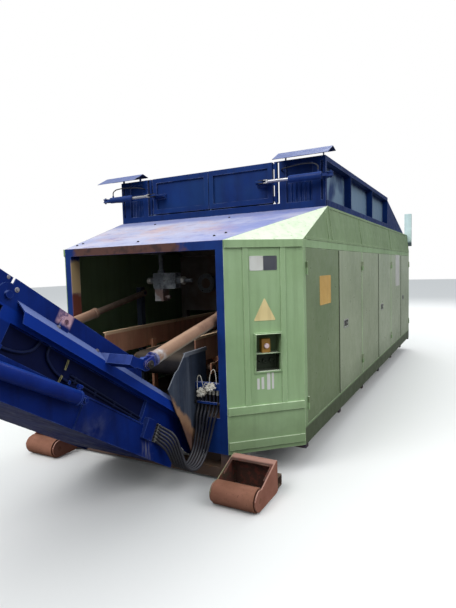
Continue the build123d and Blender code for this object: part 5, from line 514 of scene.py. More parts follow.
# Painted shade: the inside of the box behind its front face is darkened, nearly black in the lower cell.
inner_depth = box_coat.span(PANEL_OUT, -9.0, PANEL_FACE - BOX_SHADE, 0.012)
lower_cell_shade = box_coat.area(inner_depth, box_coat.span(UP, 0.0, SHELF_LEVEL, 0.004))
box_coat.lay(lower_cell_shade, (26, 28, 22), 0.92)
upper_cell_shade = box_coat.area(inner_depth, box_coat.span(UP, SHELF_LEVEL, 1.2, 0.004))
box_coat.lay(upper_cell_shade, (64, 72, 48), 0.6)
finish_node(box_coat.done(), "control_box")
housing_coat = Coat("yellow_housing", (176, 132, 58), (156, 112, 50), roughness=0.45)
weather(housing_coat, (196, 158, 84), (96, 72, 40), 0.3, 0.4)
finish_node(housing_coat.done(0.02), "estop_housing")
button_coat = Coat("faded_button", (214, 186, 190), (228, 206, 208), 30.0, roughness=0.3, gloss=0.5)
button_coat.rust_through((176, 84, 82), 0.35, 60.0)
finish_node(button_coat.done(0.0), "estop_button")


# Doors: six leaves of the same sheet in a smoother coat, darker on the first leaf and lighter
# towards the rear; each handed leaf has its black paddle latch in a pressed dish with a bright rim.
for tone_name, paint, faded, leaves in (("near", (106, 124, 88), (120, 136, 102), (1,)),
                                        ("middle", (146, 158, 130), (158, 168, 142), (2, 3)),
                                        ("far", (156, 168, 142), (168, 178, 154), (4, 5, 6))):
    door_coat = sage_coat(f"door_paint_{tone_name}", paint, faded, 0.34, 0.4)
    finish_node(door_coat.done(0.02, 0.0), *(f"door_{index}" for index in leaves))
latch_coat = Coat("black_latch", (26, 27, 28), (48, 48, 46), roughness=0.35, gloss=0.5)
latch_coat.worn_edges((150, 150, 148), 0.003)
finish_node(latch_coat.done(0.0), "door_latch_2", "door_latch_4", "door_latch_6")
bright_coat = Coat("bright_pressed_steel", (196, 198, 196), (170, 172, 168), 20.0, roughness=0.3, metallic=0.7)
bright_coat.rust_through((124, 96, 70), 0.12, 40.0)
bright_steel = bright_coat.done(0.0)
DISH_LEVEL = 1.02
DISH_WIDTH, DISH_HEIGHT, RIM_WIDTH, RIM_HEIGHT = 0.176, 0.086, 0.012, 0.0025
DOOR_FACE, LOCK_SUNK, LOCK_OFFSET = 1.2502, 0.0026, 0.045
for door_index, dish_y in ((2, 1.7175), (4, 3.6945), (6, 5.6715)):
    bpy.ops.object.select_all(action="DESELECT")
    bpy.ops.mesh.primitive_plane_add(size=1.0, location=(0.0, 0.0, 0.0))
    rim = bpy.context.object
    rim.name = f"latch_rim_{door_index}"
    rim.scale = (DISH_WIDTH, DISH_HEIGHT, 1.0)
    apply_place()
    bpy.ops.object.mode_set(mode="EDIT")
    bpy.ops.mesh.select_all(action="SELECT")
    bpy.ops.mesh.inset(thickness=RIM_WIDTH)
    bpy.ops.mesh.delete(type="FACE")
    bpy.ops.mesh.select_all(action="SELECT")
    bpy.ops.mesh.extrude_region_move(TRANSFORM_OT_translate={"value": (0.0, 0.0, RIM_HEIGHT)})
    pick(rim, "EDGE", lambda edge: min(v.co.z for v in edge.verts) > RIM_HEIGHT * 0.8
         and len(edge.link_faces) == 2 and min(face.normal.z for face in edge.link_faces) < 0.5)
    bpy.ops.mesh.bevel(offset=0.0012, segments=3)
    bpy.ops.mesh.select_all(action="SELECT")
    bpy.ops.mesh.normals_make_consistent(inside=False)
    bpy.ops.object.mode_set(mode="OBJECT")
    seat(rim, (DOOR_FACE, dish_y, DISH_LEVEL), BACK, Z_UP)
    fit(rim, bright_steel, f"door_{door_index}_leaf")
    lock = turned_piece(f"latch_lock_{door_index}",
                        ((0.011, 0.0), (0.011, 0.0012), (0.009, 0.0022), (0.0035, 0.0024), (0.003, 0.0014)))
    seat(lock, (DOOR_FACE - LOCK_SUNK, dish_y + LOCK_OFFSET, DISH_LEVEL), BACK, Z_UP)
    fit(lock, bright_steel, f"latch_{door_index}")

# Blank plates on the doors: thin enamelled sheets, an ochre one riveted to the first leaf and a
# pale one on the fifth.
ochre_coat = Coat("ochre_enamel", (206, 168, 96), (190, 150, 82), roughness=0.45)
weather(ochre_coat, (216, 184, 120), (120, 94, 60), 0.3, 0.35)
ochre_coat.rust_through((110, 74, 44), 0.06, 16.0)
PLATE_FACE = DOOR_FACE - 0.0001
OCHRE_WIDTH, OCHRE_HEIGHT, PALE_WIDTH, PALE_HEIGHT = 0.33, 0.25, 0.40, 0.50
ochre_plate = flat_plate("door_plate_ochre", OCHRE_WIDTH, OCHRE_HEIGHT, 0.002, 0.014, 0.006)
seat(ochre_plate, (PLATE_FACE, 1.01, 1.395), BACK, Z_UP)
fit(ochre_plate, ochre_coat.done(0.03), "door_1_leaf")
pale_plate = flat_plate("door_plate_pale", PALE_WIDTH, PALE_HEIGHT, 0.0015, 0.012, 0.005)
seat(pale_plate, (PLATE_FACE, 5.06, 1.50), BACK, Z_UP)
fit(pale_plate, enamel_white, "door_5_leaf")


# Seals and covers between the doors: a black rubber lip on each meeting edge, and a pale folded
# cover strip over each pair of hinge posts, screwed to the side frame.
seal_coat = Coat("seal_rubber", (20, 22, 20), (34, 36, 32), 12.0, roughness=0.7)
seal_rubber = seal_coat.done(0.0, 0.2)
cover_coat = sage_coat("cover_strip_paint", (176, 196, 160), (188, 206, 174), 0.4, 0.35)
cover_paint = cover_coat.done()
SEAL_WIDTH, SEAL_LENGTH, COVER_WIDTH, COVER_LENGTH = 0.012, 1.376, 0.018, 1.380
DOOR_MIDDLE, EDGE_TO_SEAL, SHEET_FACE = 1.055, 0.0065, DOOR_FACE - 0.0002
for door_index, edge_y in ((1, 1.4655), (3, 3.4425), (5, 5.4195)):
    lip = flat_plate(f"door_seal_{door_index}", SEAL_WIDTH, SEAL_LENGTH, 0.004, 0.003, 0.0025)
    seat(lip, (SHEET_FACE, edge_y - EDGE_TO_SEAL, DOOR_MIDDLE), BACK, Z_UP)
    fit(lip, seal_rubber, f"door_{door_index}_leaf")
for cover_name, cover_y in (("rear_post_cover_1", 2.456), ("rear_post_cover_2", 4.433)):
    cover = flat_plate(cover_name, COVER_WIDTH, COVER_LENGTH, 0.003, 0.002, 0.0015)
    seat(cover, (SHEET_FACE, cover_y, DOOR_MIDDLE), BACK, Z_UP)
    fit(cover, cover_paint, "machine")


# Roof: folded sheet around the hopper. Its blue has chalked to lavender, with rust dust and
# patches of older blue, and it is held by small dome bolts.
roof_coat = Coat("worn_roof_paint", (158, 162, 190), (184, 184, 202), 2.2, roughness=0.65, gloss=0.12)
roof_coat.lay(roof_coat.noise(1.7, 0.50, 0.68, 6.0, 0.7), (186, 158, 154), 0.8)
roof_coat.lay(roof_coat.noise(5.0, 0.55, 0.66, 8.0, 0.72, (1.0, 2.4, 1.0)), (108, 118, 168), 0.7)
roof_coat.lay(roof_coat.noise(60.0, 0.60, 0.68, 6.0, 0.7), (126, 88, 78), 0.7)
roof_coat.lay(roof_coat.span(BACK, 1.05, 1.30, 0.06, 0.10), (110, 120, 170), 0.7)
older_blue = roof_coat.area(roof_coat.span(RIGHT, 0.55, 1.3, 0.25, 0.3), roof_coat.noise(3.0, 0.35, 0.6))
roof_coat.lay(older_blue, (104, 118, 182), 0.55)
roof_coat.rust_through((118, 84, 74), 0.16, 7.0)
roof_coat.worn_edges((150, 120, 110), strength=0.6)
finish_node(roof_coat.done(0.12), "roof")
dark_steel_coat = Coat("dark_bolt_steel", (44, 42, 44), (66, 60, 58), 30.0, roughness=0.5, metallic=0.5)
dark_steel_coat.rust_through((96, 60, 44), 0.3, 50.0)
dark_steel = dark_steel_coat.done(0.0)


def bolt_pattern(name, across, head):
    """Hexagon head on a round washer, its top corners turned off."""
    hexagon = turned_piece(name, ((across / 2, 0.002), (across / 2, head * 0.8), (across * 0.44, head)), 6)
    washer = turned_piece(name, ((across * 0.8, 0.0), (across * 0.8, 0.0018), (across * 0.74, 0.0024)), 20)
    return joined_pieces(name, [hexagon, washer])


def surface_at(node, start, way):
    """Point and normal where a line first meets a CAD node."""
    start = Vector(start)
    found, point, normal, face = cad_nodes[node].ray_cast(start, Vector(way))
    return (point, normal) if found else None


def bolts_on(name, pattern, node, places, way, finish, body):
    """Copies of one bolt where lines along one way meet a node."""
    heads = []
    for start in places:
        hit = surface_at(node, start, way)
        if hit is None:
            continue
        point, normal = hit
        side = normal.cross(Z_UP) if abs(normal.z) < 0.9 else Vector(RIGHT)
        head = copy_of(pattern)
        seat(head, point, side, normal.cross(side))
        heads.append(head)
    if heads:
        fit(joined_pieces(name, heads), finish, body)


DOWN = (0.0, 0.0, -1.0)
small_bolt = bolt_pattern("small_bolt", 0.016, 0.009)
ABOVE_ROOF = 3.0
roof_places = [(-0.78, 0.13), (-0.78, 0.205), (-0.08, 0.13), (0.63, 0.17), (0.685, 0.26), (-0.55, 1.0),
               (0.30, 1.05)]
bolts_on("roof_bolts", small_bolt, "roof", [(x, y, ABOVE_ROOF) for x, y in roof_places], DOWN, dark_steel,
         "machine")


# Exhaust stack at the far corner: square galvanised tube, pale with age, its dark foot clamped to
# the rear wall.
post_coat = Coat("pale_galvanised", (208, 232, 228), (190, 214, 210), roughness=0.5)
weather(post_coat, (214, 226, 222), (110, 116, 108), 0.3, 0.2)
post_coat.lay(post_coat.span(UP, 0.0, 2.02, 0.02, 0.02), (46, 58, 70), 0.9)
finish_node(post_coat.done(0.02), "exhaust_stack")


# Hopper: welded blue frame and ribs. A painted sky reflection lies pale on the side sheets between
# the ribs, and the rails are rubbed pale along their upper edges.
def hopper_coat(name):
    coat = Coat(name, (6, 34, 88), (12, 46, 104), roughness=0.5, gloss=0.1)
    weather(coat, (74, 88, 134), (12, 18, 40), 0.35, 0.35, 0.5)
    coat.rust_through((92, 62, 52), 0.06)
    coat.worn_edges((112, 124, 164), 0.008, 0.75)
    return coat


def on_both_sides(coat, low, high, soft):
    """1 between two distances from the middle of the machine, right and left alike."""
    return coat.sum_up("MAXIMUM", coat.span(RIGHT, low, high, soft), coat.span(RIGHT, -high, -low, soft))


finish_node(hopper_coat("hopper_front_paint").done(), "hopper_front")
side_coat = hopper_coat("hopper_side_paint")
bay_face = side_coat.area(side_coat.span(UP, 2.24, 2.55, 0.02, 0.03),
                          on_both_sides(side_coat, 1.05, 1.118, 0.003))
# Painted reflection: pale grey-blue clouds on the side sheets between the ribs stand in for the sky's sheen.
bay_sky_reflection = side_coat.area(bay_face, side_coat.noise(1.9, 0.38, 0.52, 3.0, 0.5))
side_coat.lay(bay_sky_reflection, (122, 146, 166), 0.8)
finish_node(side_coat.done(), "hopper_side_walls", "hopper_rear_hood")


# Hopper gates: two framed leaves of blue sheet with their upright lugs. The pressed panel has
# gone dull and dusty, the frames are rubbed at the edges.
gate_coat = hopper_coat("gate_paint")
dusty_panel = gate_coat.area(gate_coat.span(UP, 2.28, 2.55, 0.03, 0.03),
                             gate_coat.noise(2.6, 0.40, 0.62, 3.0, 0.5))
gate_coat.lay(dusty_panel, (14, 48, 96), 0.6)
finish_node(gate_coat.done(), "gate_left", "gate_right")
SWEEP_HEIGHT, GATE_FACE, GATE_FOOT = 0.0105, 1.284, 2.2164
for gate_name, low_x, high_x in (("gate_r", -0.030, 0.664), ("gate_l", -0.744, -0.050)):
    sweep = flat_plate(f"{gate_name}_bottom_seal", high_x - low_x, SWEEP_HEIGHT, 0.004, 0.002, 0.0015)
    seat(sweep, ((low_x + high_x) / 2, GATE_FACE, GATE_FOOT), RIGHT, Z_UP)
    fit(sweep, seal_rubber, gate_name)
chrome_coat = Coat("worn_chrome", (172, 172, 176), (146, 144, 146), 20.0, roughness=0.3, metallic=0.8)
chrome_coat.rust_through((124, 96, 78), 0.14, 22.0)
rod_eyes = chrome_coat.sum_up("MAXIMUM", chrome_coat.span(RIGHT, 0.53, 0.632, 0.002),
                              chrome_coat.span(RIGHT, -0.712, -0.61, 0.002))
chrome_coat.lay(chrome_coat.area(rod_eyes, chrome_coat.span(UP, 2.2, 2.6)), (16, 22, 48), 0.9)
worn_chrome = chrome_coat.done(0.0)
finish_node(worn_chrome, "gate_rod_left", "gate_rod_right", "fold_rods")
barrel_coat = Coat("cylinder_blue_paint", (8, 34, 92), (16, 50, 112), roughness=0.45, gloss=0.18)
weather(barrel_coat, (62, 84, 146), (14, 18, 38), 0.25, 0.35, 0.45)
barrel_coat.rust_through((96, 60, 46), 0.08, 12.0)
barrel_coat.worn_edges((112, 128, 176), 0.004)
barrel_paint = barrel_coat.done(0.0)
finish_node(barrel_paint, "gate_barrel_left", "gate_barrel_right")
rubber_coat = Coat("black_hose_rubber", (12, 15, 28), (26, 29, 44), 12.0, roughness=0.45, gloss=0.4)
weather(rubber_coat, (72, 72, 78), (84, 78, 70), 0.1, 0.35, 0.3)
hose_rubber = rubber_coat.done(0.0)
finish_node(hose_rubber, "gate_hoses", "hose_loop")


# Canopies: bent sheet roofs over the gate cylinders, open at their gable ends; lavender on top
# where the blue has chalked, dark blue below.
canopy_coat = Coat("canopy_paint", (12, 26, 70), (18, 34, 84), roughness=0.5)
weather(canopy_coat, (102, 114, 160), (20, 24, 40), 0.2, 0.25, 0.1)
canopy_clouds = canopy_coat.area(canopy_coat.facing(0.1, 0.4), canopy_coat.noise(4.0, 0.55, 0.7))
canopy_coat.lay(canopy_clouds, (74, 86, 140), 0.6)
canopy_coat.rust_through((100, 70, 60), 0.05)
canopy_coat.worn_edges((150, 158, 190))
finish_node(canopy_coat.done(0.08), "cylinder_canopies")


# Discharge conveyor: welded blue box sections with a chalked wind flange on each side, painted pale on top
# as a highlight, a recess with steel pipes and hoses in painted shade, and a worn lug for transport.
SLOPE_ALONG = (0.0, -0.84104, 0.54097)
SLOPE_ACROSS = (0.0, 0.54097, 0.84104)


def conveyor_coat(name):
    coat = Coat(name, (4, 28, 96), (8, 40, 118), roughness=0.48, gloss=0.1)
    weather(coat, (70, 90, 152), (6, 8, 30), 0.45, 0.5, 0.35)
    coat.rust_through((104, 68, 56), 0.07, 10.0)
    coat.worn_edges((88, 112, 178), 0.006, 0.7)
    return coat


lower_coat = conveyor_coat("conveyor_lower_paint")
in_recess = lower_coat.area(lower_coat.span(SLOPE_ALONG, 0.775, 1.985, 0.002),
                            lower_coat.span(SLOPE_ACROSS, 0.195, 0.34, 0.002))
recess_wall_shade = lower_coat.area(in_recess, on_both_sides(lower_coat, 0.385, 0.3975, 0.001))
recess_pipes_and_shade = lower_coat.area(in_recess, on_both_sides(lower_coat, 0.3975, 0.4145, 0.001))
# Painted shade: the recessed wall under the flange is near black, and the blue-black pipes in it are darkened
# further.
lower_coat.lay(recess_wall_shade, (5, 9, 38), 0.85)
lower_coat.lay(recess_pipes_and_shade, (24, 30, 52), 0.9)
flange_side = on_both_sides(lower_coat, 0.419, 0.492, 0.002)
# Chalk and painted highlight: the flange's upward faces are made pale blue.
flange_top_chalk_and_highlight = lower_coat.area(flange_side, lower_coat.span(SLOPE_ACROSS, 0.34, 0.48, 0.01),
                             lower_coat.facing(0.25, 0.6))
lower_coat.lay(flange_top_chalk_and_highlight, (108, 124, 178), 0.8)
flange_lip = lower_coat.area(flange_side, lower_coat.span(SLOPE_ACROSS, 0.34, 0.41, 0.004),
                             lower_coat.facing(0.2, -0.1))
lower_coat.lay(flange_lip, (16, 60, 170), 0.7)
lug_face = lower_coat.area(lower_coat.span(SLOPE_ALONG, 1.64, 1.745, 0.01),
                           lower_coat.span(SLOPE_ACROSS, 0.475, 0.60, 0.01), lower_coat.noise(14.0, 0.35, 0.5))
lower_coat.lay(lug_face, (198, 160, 172), 0.9)
scuff = lower_coat.area(lower_coat.span(BACK, -0.53, -0.44, 0.03, 0.05),
                        lower_coat.span(UP, 0.26, 0.46, 0.04, 0.05),
                        lower_coat.noise(18.0, 0.42, 0.6, 4.0, 0.6, (3.0, 3.0, 0.4)))
lower_coat.lay(scuff, (112, 112, 122), 0.6)
side_scuff = lower_coat.area(lower_coat.span(BACK, -1.05, -0.86, 0.06, 0.08),
                             lower_coat.span(UP, 0.62, 0.76, 0.05, 0.05), lower_coat.noise(7.0, 0.4, 0.7))
lower_coat.lay(side_scuff, (96, 104, 132), 0.5)
finish_node(lower_coat.done(0.08), "conveyor_lower")
finish_node(conveyor_coat("conveyor_upper_paint").done(0.08), "conveyor_upper")
plate_bolt = bolt_pattern("plate_bolt", 0.017, 0.010)
flush_screw = turned_piece("flush_screw", ((0.010, 0.0), (0.010, 0.0008), (0.009, 0.0014)), 20)
BESIDE_CONVEYOR = 1.2
upper_screw_places = [(-1.474, 1.590)]
lower_bolt_places = [(-1.439, 1.525), (-1.207, 1.311), (-0.919, 1.134)]
pale_bolt_coat = Coat("worn_bolt_heads", (150, 148, 156), (116, 112, 122), 30.0, roughness=0.45, metallic=0.4)
pale_bolt_coat.rust_through((112, 70, 50), 0.35, 60.0)
pale_bolts = pale_bolt_coat.done(0.0)
for side_name, side in (("right", 1.0), ("left", -1.0)):
    for part_name, node, body, head, places in (
            ("lower", "conveyor_lower", "lower_section", plate_bolt, lower_bolt_places),
            ("upper", "conveyor_upper", "upper_section", flush_screw, upper_screw_places)):
        starts = [(side * BESIDE_CONVEYOR, y, z) for y, z in places]
        bolts_on(f"conveyor_bolts_{part_name}_{side_name}", head, node, starts, (-side, 0.0, 0.0),
                 pale_bolts, body)

# Hose straps in the recess: flat webbing, yellowed with age, pulled round the small hoses and
# riveted at both ends.
strap_coat = Coat("yellowed_strap", (150, 146, 104), (128, 122, 84), 24.0, roughness=0.7)
strap_coat.lay(strap_coat.noise(30.0, 0.5, 0.7), (80, 76, 60), 0.7)
strap_finish = strap_coat.done(0.0, 0.3)
STRAP_WIDTH, STRAP_FACE = 0.014, 0.4165
for strap_name, start, end in (("recess_strap_upper", (-1.134, 1.117), (-1.163, 1.066)),
                               ("recess_strap_lower", (-1.186, 1.040), (-1.216, 1.006))):
    reach = Vector((0.0, end[0] - start[0], end[1] - start[1]))
    strap = flat_plate(strap_name, reach.length, STRAP_WIDTH, 0.002, 0.002, 0.002)
    middle = (STRAP_FACE, (start[0] + end[0]) / 2, (start[1] + end[1]) / 2)
    seat(strap, middle, reach, Vector(RIGHT).cross(reach))
    fit(strap, strap_finish, "lower_section")


# Belts and drums: ribbed black rubber belts gone grey with dust, running over drums welded from
# rolled steel plate.
belt_coat = Coat("dusty_belt_rubber", (22, 22, 28), (36, 35, 38), 8.0, roughness=0.8, gloss=0.12)
weather(belt_coat, (84, 76, 68), (56, 46, 40), 0.1, 0.4, 0.4)
finish_node(belt_coat.done(0.05, 0.4), "conveyor_belt", "collect_belt")
drum_coat = Coat("drum_steel", (92, 74, 62), (112, 92, 76), 10.0, roughness=0.6, metallic=0.3)
drum_coat.rust_through((104, 64, 44), 0.5, 7.0)
finish_node(drum_coat.done(), "conveyor_head_drum", "conveyor_tail_drum", "collect_head_drum",
            "collect_tail_drum")


# Lift cylinders: barrels gone orange-tan with old primer on top and pale grey below, a blue
# clevis at the pin and bare rods inside the portal.
LIFT_ALONG = (0.0, 0.9806, 0.1961)
lift_coat = Coat("sun_bleached_barrel", (132, 102, 86), (152, 122, 102), 5.0, roughness=0.65, gloss=0.15)
lift_coat.lay(lift_coat.facing(0.75, 1.0), (176, 146, 122), 0.6)
lift_coat.lay(lift_coat.facing(-0.15, -0.65), (150, 146, 134), 0.85)
lift_coat.lay(lift_coat.noise(4.0, 0.45, 0.62, 5.0, 0.6), (92, 66, 58), 0.6)
lift_coat.rust_through((118, 68, 50), 0.22, 8.0)
lift_coat.lay(lift_coat.span(LIFT_ALONG, -2.0, -0.4462, 0.006, 0.03), (14, 40, 116), 0.95)
rubbed_collar = lift_coat.area(lift_coat.span(LIFT_ALONG, -0.452, -0.36, 0.02, 0.04),
                               lift_coat.noise(16.0, 0.4, 0.6))
lift_coat.lay(rubbed_collar, (196, 196, 200), 0.7)
lift_coat.worn_edges((200, 180, 160), 0.004)
finish_node(lift_coat.done(0.0), "lift_barrels")
far_rod_coat = Coat("dull_rod", (150, 132, 118), (122, 104, 92), 8.0, roughness=0.4, metallic=0.5)
far_rod_coat.rust_through((110, 72, 54), 0.35, 10.0)
finish_node(far_rod_coat.done(0.0), "lift_rods")
pin_cap = turned_piece("pin_cap", ((0.026, 0.0), (0.026, 0.004), (0.023, 0.006), (0.012, 0.006),
                                   (0.012, 0.009), (0.005, 0.012), (0.004, 0.017)))
LIFT_EYE_FACE, LIFT_EYE_BACK, LIFT_EYE_UP = 0.7029, -0.765, 1.040
for side_name, side in (("right", 1.0), ("left", -1.0)):
    cap = copy_of(pin_cap)
    cap.name = f"lift_pin_cap_{side_name}"
    seat(cap, (side * LIFT_EYE_FACE, LIFT_EYE_BACK, LIFT_EYE_UP), (0.0, side, 0.0), Z_UP)
    fit(cap, dark_steel, "lift_barrel")

# Fold cylinders: steel barrels pinned between the two conveyor sections and painted together with
# them, with a painted highlight along the top.
fold_coat = Coat("fold_cylinder_paint", (5, 30, 106), (10, 44, 132), roughness=0.4, gloss=0.16)
# Painted highlight: the upward faces are made a brighter blue.
weather(fold_coat, (30, 70, 164), (6, 10, 34), 0.25, 0.4, 0.4)
fold_coat.rust_through((110, 74, 60), 0.08, 14.0)
fold_coat.worn_edges((104, 132, 196), 0.004)
finish_node(fold_coat.done(0.0), "fold_barrels")


# Discharge chute: slate-grey cheeks of thick sheet behind the portal, scraped to a tan diagonal
# by the stream of material, streaked with dirt and rusty at the foot.
chute_coat = Coat("slate_chute", (44, 54, 72), (62, 72, 88), 4.0, roughness=0.6, gloss=0.25)
weather(chute_coat, (120, 124, 130), (30, 26, 28), 0.5, 0.45)
chute_coat.lay(chute_coat.noise(3.0, 0.5, 0.72, 5.0, 0.6, (6.0, 6.0, 0.5)), (86, 92, 104), 0.6)
DIAGONAL = (0.0, 0.7259, 0.6878)
scraped = chute_coat.area(chute_coat.span(DIAGONAL, 0.205, 0.275, 0.012, 0.04),
                          chute_coat.span(UP, 0.2, 0.93, 0.04))
chute_coat.lay(scraped, (150, 116, 88), 0.85)
rusty_foot = chute_coat.area(chute_coat.span(UP, 0.0, 0.62, 0.06, 0.1),
                             chute_coat.span(DIAGONAL, -2.0, 0.235, 0.02, 0.05))
chute_coat.lay(rusty_foot, (112, 78, 58), 0.7)
chute_coat.lay(chute_coat.span(UP, 0.955, 1.0, 0.004), (126, 130, 138), 0.6)
chute_coat.rust_through((104, 66, 48), 0.2, 8.0)
finish_node(chute_coat.done(0.15), "discharge_chute")


# Hose bundle: six hoses from the valve manifold, through the clamp bar on the portal, down in a
# loop and up to the conveyor, each end crimped in a steel ferrule.
ferrule = turned_piece("ferrule", ((0.0125, 0.0), (0.0125, 0.003), (0.0112, 0.005), (0.0112, 0.011),
                                   (0.0125, 0.013), (0.0125, 0.017), (0.0112, 0.019), (0.0112, 0.027),
                                   (0.0125, 0.029), (0.0125, 0.034), (0.010, 0.036)), 16)
HOSE_COUNT, CLAMP_PITCH, CONVEYOR_PITCH = 6, 0.034, 0.021
FIRST_CLAMP = Vector((0.535, 0.023, 0.653))
FIRST_FOOT = Vector((0.443, 0.0, 0.0)) + Vector(SLOPE_ALONG) * 0.606
ferrule_coat = Coat("zinc_ferrule", (168, 168, 162), (142, 140, 132), 30.0, roughness=0.4, metallic=0.5)
ferrule_coat.rust_through((120, 92, 66), 0.25, 50.0)
zinc_ferrule = ferrule_coat.done(0.0)
upper_ends = []
lower_ends = []
for index in range(HOSE_COUNT):
    end = copy_of(ferrule)
    seat(end, FIRST_CLAMP + Vector(RIGHT) * CLAMP_PITCH * index, RIGHT, BACK)
    upper_ends.append(end)
    across = 0.118 + CONVEYOR_PITCH * index
    foot = FIRST_FOOT + Vector(SLOPE_ACROSS) * across
    end = copy_of(ferrule)
    seat(end, foot, Vector(SLOPE_ACROSS), Vector(RIGHT))
    lower_ends.append(end)
fit(joined_pieces("hose_ferrules_portal", upper_ends), zinc_ferrule, "machine")
fit(joined_pieces("hose_ferrules_conveyor", lower_ends), zinc_ferrule, "machine")
clamp_bolts = [(0.523, -0.5, 0.590), (0.722, -0.5, 0.590)]
bolts_on("clamp_bar_bolts", small_bolt, "portal_frame", clamp_bolts, BACK, dark_steel, "machine")

# Crumpled pale wrap over the manifold's fittings, tied with three stiff plastic ties whose tails
# stand up.
random.seed(7)
CREASES, CREASE_REACH = 14, 0.0028
wrap_coat = Coat("pale_wrap", (214, 212, 202), (188, 184, 172), 30.0, roughness=0.6)
wrap_coat.lay(wrap_coat.noise(22.0, 0.45, 0.65), (150, 140, 120), 0.6)
pale_wrap = wrap_coat.done(0.0, 0.4)
for wrap_name, middle, reach in (("manifold_wrap_low", (0.575, -0.006, 0.668), (0.052, 0.026, 0.040)),
                                 ("manifold_wrap_high", (0.655, -0.004, 0.714), (0.058, 0.026, 0.036))):
    bpy.ops.object.select_all(action="DESELECT")
    bpy.ops.mesh.primitive_ico_sphere_add(subdivisions=4, radius=1.0, location=(0.0, 0.0, 0.0))
    wrap = bpy.context.object
    wrap.name = wrap_name
    wrap.scale = reach
    apply_place()
    bpy.ops.object.mode_set(mode="EDIT")
    for _ in range(CREASES):
        way = Vector((random.uniform(-1, 1), random.uniform(-1, 1), random.uniform(-1, 1))).normalized()
        level = random.uniform(-0.6, 0.6) * min(reach)
        pick(wrap, "EDGE",
             lambda edge: abs(way.dot((edge.verts[0].co + edge.verts[1].co) / 2) - level) < CREASE_REACH)
        bpy.ops.transform.resize(value=(0.86, 0.86, 0.86), center_override=(0.0, 0.0, 0.0))
    bpy.ops.mesh.select_all(action="SELECT")
    bpy.ops.mesh.vertices_smooth(factor=0.3, repeat=1)
    bpy.ops.object.mode_set(mode="OBJECT")
    seat(wrap, middle, (0.93, 0.0, 0.36), BACK)
    fit(wrap, pale_wrap, "machine")
TIE_RADIUS = 0.0022
for index, points in enumerate((
    ((0.548, -0.012, 0.690), (0.552, -0.022, 0.765), (0.568, -0.026, 0.812), (0.596, -0.024, 0.790),
     (0.600, -0.014, 0.712)),
    ((0.600, -0.012, 0.700), (0.618, -0.024, 0.748), (0.640, -0.020, 0.752), (0.650, -0.010, 0.728)),
    ((0.655, -0.012, 0.730), (0.664, -0.026, 0.800), (0.690, -0.024, 0.862), (0.716, -0.016, 0.850),
     (0.712, -0.006, 0.742)),
)):
    tie_curve = bpy.data.curves.new(f"tie_wire_{index + 1}", "CURVE")
    tie_curve.dimensions = "3D"
    tie_line = tie_curve.splines.new("NURBS")
    tie_line.points.add(len(points) - 1)
    for knot, point in zip(tie_line.points, points):
        knot.co = (*point, 1.0)
    tie_line.order_u = 3
    tie_line.use_endpoint_u = True
    tie_curve.bevel_depth = TIE_RADIUS
    tie_curve.bevel_resolution = 3
    tie = bpy.data.objects.new(f"tie_wire_{index + 1}", tie_curve)
    bpy.context.scene.collection.objects.link(tie)
    only_pick(tie)
    bpy.ops.object.convert(target="MESH")
    fit(bpy.context.object, pale_wrap, "machine")


# Valve: grey cast body hung behind the lintel on a stem, with a rusty foot block. A sealed plug
# closes its left port, and two fittings sit on the right one.
valve_coat = Coat("grey_valve_paint", (92, 98, 104), (72, 78, 84), 12.0, roughness=0.5)
weather(valve_coat, (150, 152, 152), (52, 46, 44), 0.3, 0.5, 0.3)
valve_coat.lay(valve_coat.span(UP, 1.2, 1.442, 0.01, 0.02), (98, 76, 68), 0.85)
valve_coat.lay(valve_coat.noise(11.0, 0.50, 0.60, 5.0, 0.6), (128, 132, 134), 0.7)
valve_coat.lay(valve_coat.noise(17.0, 0.56, 0.64, 5.0, 0.6), (40, 38, 38), 0.75)
valve_coat.rust_through((104, 76, 66), 0.15, 24.0)
valve_coat.worn_edges((176, 178, 180), 0.004)
finish_node(valve_coat.done(0.02, 0.4), "valve_block")
plug = turned_piece("valve_plug", ((0.030, 0.0), (0.030, 0.012), (0.024, 0.014), (0.030, 0.024),
                                   (0.028, 0.040), (0.018, 0.050), (0.006, 0.053)))
LEFT_PORT, RIGHT_PORT = (-0.1945, 0.45, 1.51), (0.136, 0.45, 1.51)
seat(plug, LEFT_PORT, BACK, UP)
bpy.ops.object.mode_set(mode="EDIT")
bpy.ops.mesh.select_all(action="SELECT")
bpy.ops.transform.resize(value=(-1.0, 1.0, 1.0), center_override=LEFT_PORT)
bpy.ops.mesh.normals_make_consistent(inside=False)
bpy.ops.object.mode_set(mode="OBJECT")
fit(plug, zinc_ferrule, "machine")
hex_fitting = turned_piece("valve_hex", ((0.036, 0.0), (0.036, 0.026), (0.032, 0.030)), 6)
seat(hex_fitting, RIGHT_PORT, BACK, UP)
fit(hex_fitting, zinc_ferrule, "machine")


# Ground rollers: rusted tubes between bolted cheeks of thick plate under the portal's beam, with
# old sage overspray on the inner cheek and painted shade, flecked with rust, between the cheeks.
roller_coat = Coat("rusted_roller", (126, 86, 68), (146, 102, 84), 6.0, roughness=0.8, gloss=0.12)
roller_coat.lay(roller_coat.noise(5.0, 0.45, 0.7, 5.0, 0.6, (0.4, 2.0, 2.0)), (112, 72, 58), 0.7)
roller_coat.rust_through((104, 62, 46), 0.3, 10.0)
roller_coat.lay(roller_coat.noise(70.0, 0.62, 0.7), (70, 46, 38), 0.7)
finish_node(roller_coat.done(0.06, 0.3), "roller_left", "roller_right")
bracket_coat = Coat("bracket_rust", (132, 84, 68), (152, 104, 88), 5.0, roughness=0.75)
bracket_coat.lay(bracket_coat.facing(0.2, 0.7), (178, 140, 128), 0.6)
overspray = bracket_coat.area(bracket_coat.span(RIGHT, 0.70, 0.862, 0.004, 0.03),
                              bracket_coat.noise(6.0, 0.35, 0.5))
bracket_coat.lay(overspray, (128, 144, 104), 0.8)
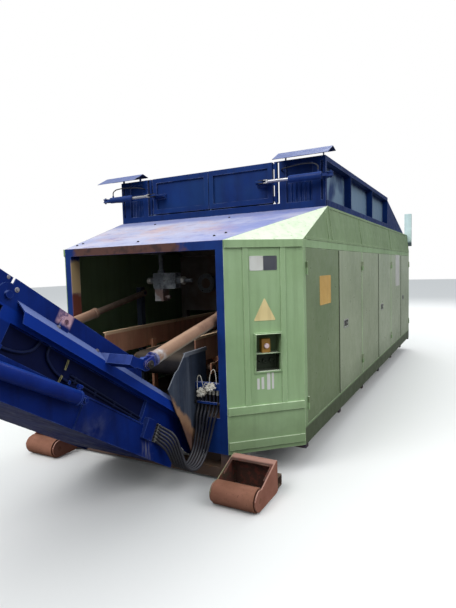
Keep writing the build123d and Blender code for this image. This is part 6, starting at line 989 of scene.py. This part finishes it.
# Painted shade: the space between the right bracket's cheeks, under the roller, is painted near black with rust
# flecks.
shade_between_cheeks = bracket_coat.area(bracket_coat.span(RIGHT, 0.848, 1.178, 0.002),
                                 bracket_coat.span(UP, 0.0, 0.228, 0.003),
                                 bracket_coat.span(BACK, -0.29, 0.0, 0.004))
bracket_coat.lay(shade_between_cheeks, (34, 20, 16), 0.85)
bracket_coat.lay(bracket_coat.area(shade_between_cheeks, bracket_coat.noise(20.0, 0.5, 0.6)), (96, 46, 36), 0.8)
bracket_coat.rust_through((96, 54, 42), 0.35, 9.0)
bracket_coat.worn_edges((170, 130, 112), 0.005)
finish_node(bracket_coat.done(0.08, 0.3), "roller_brackets")


# Collecting conveyor under the crusher: steel side boards on the base frame, painted tan and faded
# along the top edge.
board_coat = Coat("tan_board_paint", (176, 122, 98), (196, 146, 116), 4.0, roughness=0.7)
weather(board_coat, (206, 176, 144), (104, 72, 58), 0.35, 0.5)
board_coat.rust_through((92, 52, 38), 0.3, 7.0)
board_coat.lay(board_coat.span(UP, 1.045, 1.09, 0.004), (222, 192, 156), 0.8)
finish_node(board_coat.done(0.12), "collect_frame")


# Crusher box, rotors, bearings and motors: hard plate scoured bright by scrap at the edges, grey
# machine paint on the housings.
plate_coat = Coat("scoured_plate", (104, 98, 94), (82, 76, 72), 6.0, roughness=0.45, metallic=0.6)
plate_coat.lay(plate_coat.noise(3.0, 0.5, 0.7), (92, 68, 54), 0.7)
plate_coat.rust_through((104, 64, 44), 0.35, 7.0)
plate_coat.worn_edges((176, 172, 168), 0.008)
finish_node(plate_coat.done(0.08), "crusher_box", "rotor_left", "rotor_right")
machine_coat = Coat("grey_machine_paint", (108, 116, 120), (92, 98, 102), 5.0, roughness=0.5)
weather(machine_coat, (140, 144, 144), (58, 50, 44), 0.3, 0.5)
machine_coat.rust_through((104, 72, 54), 0.2, 9.0)
machine_coat.worn_edges((168, 172, 172))
finish_node(machine_coat.done(), "rotor_bearings", "rotor_motors", "engine")
finish_node(barrel_paint, "oil_tank")

# The patterns of the repeated fasteners are taken away: only their copies are on the machine.
for pattern in (small_bolt, plate_bolt, flush_screw, pin_cap, ferrule):
    bpy.data.objects.remove(pattern)
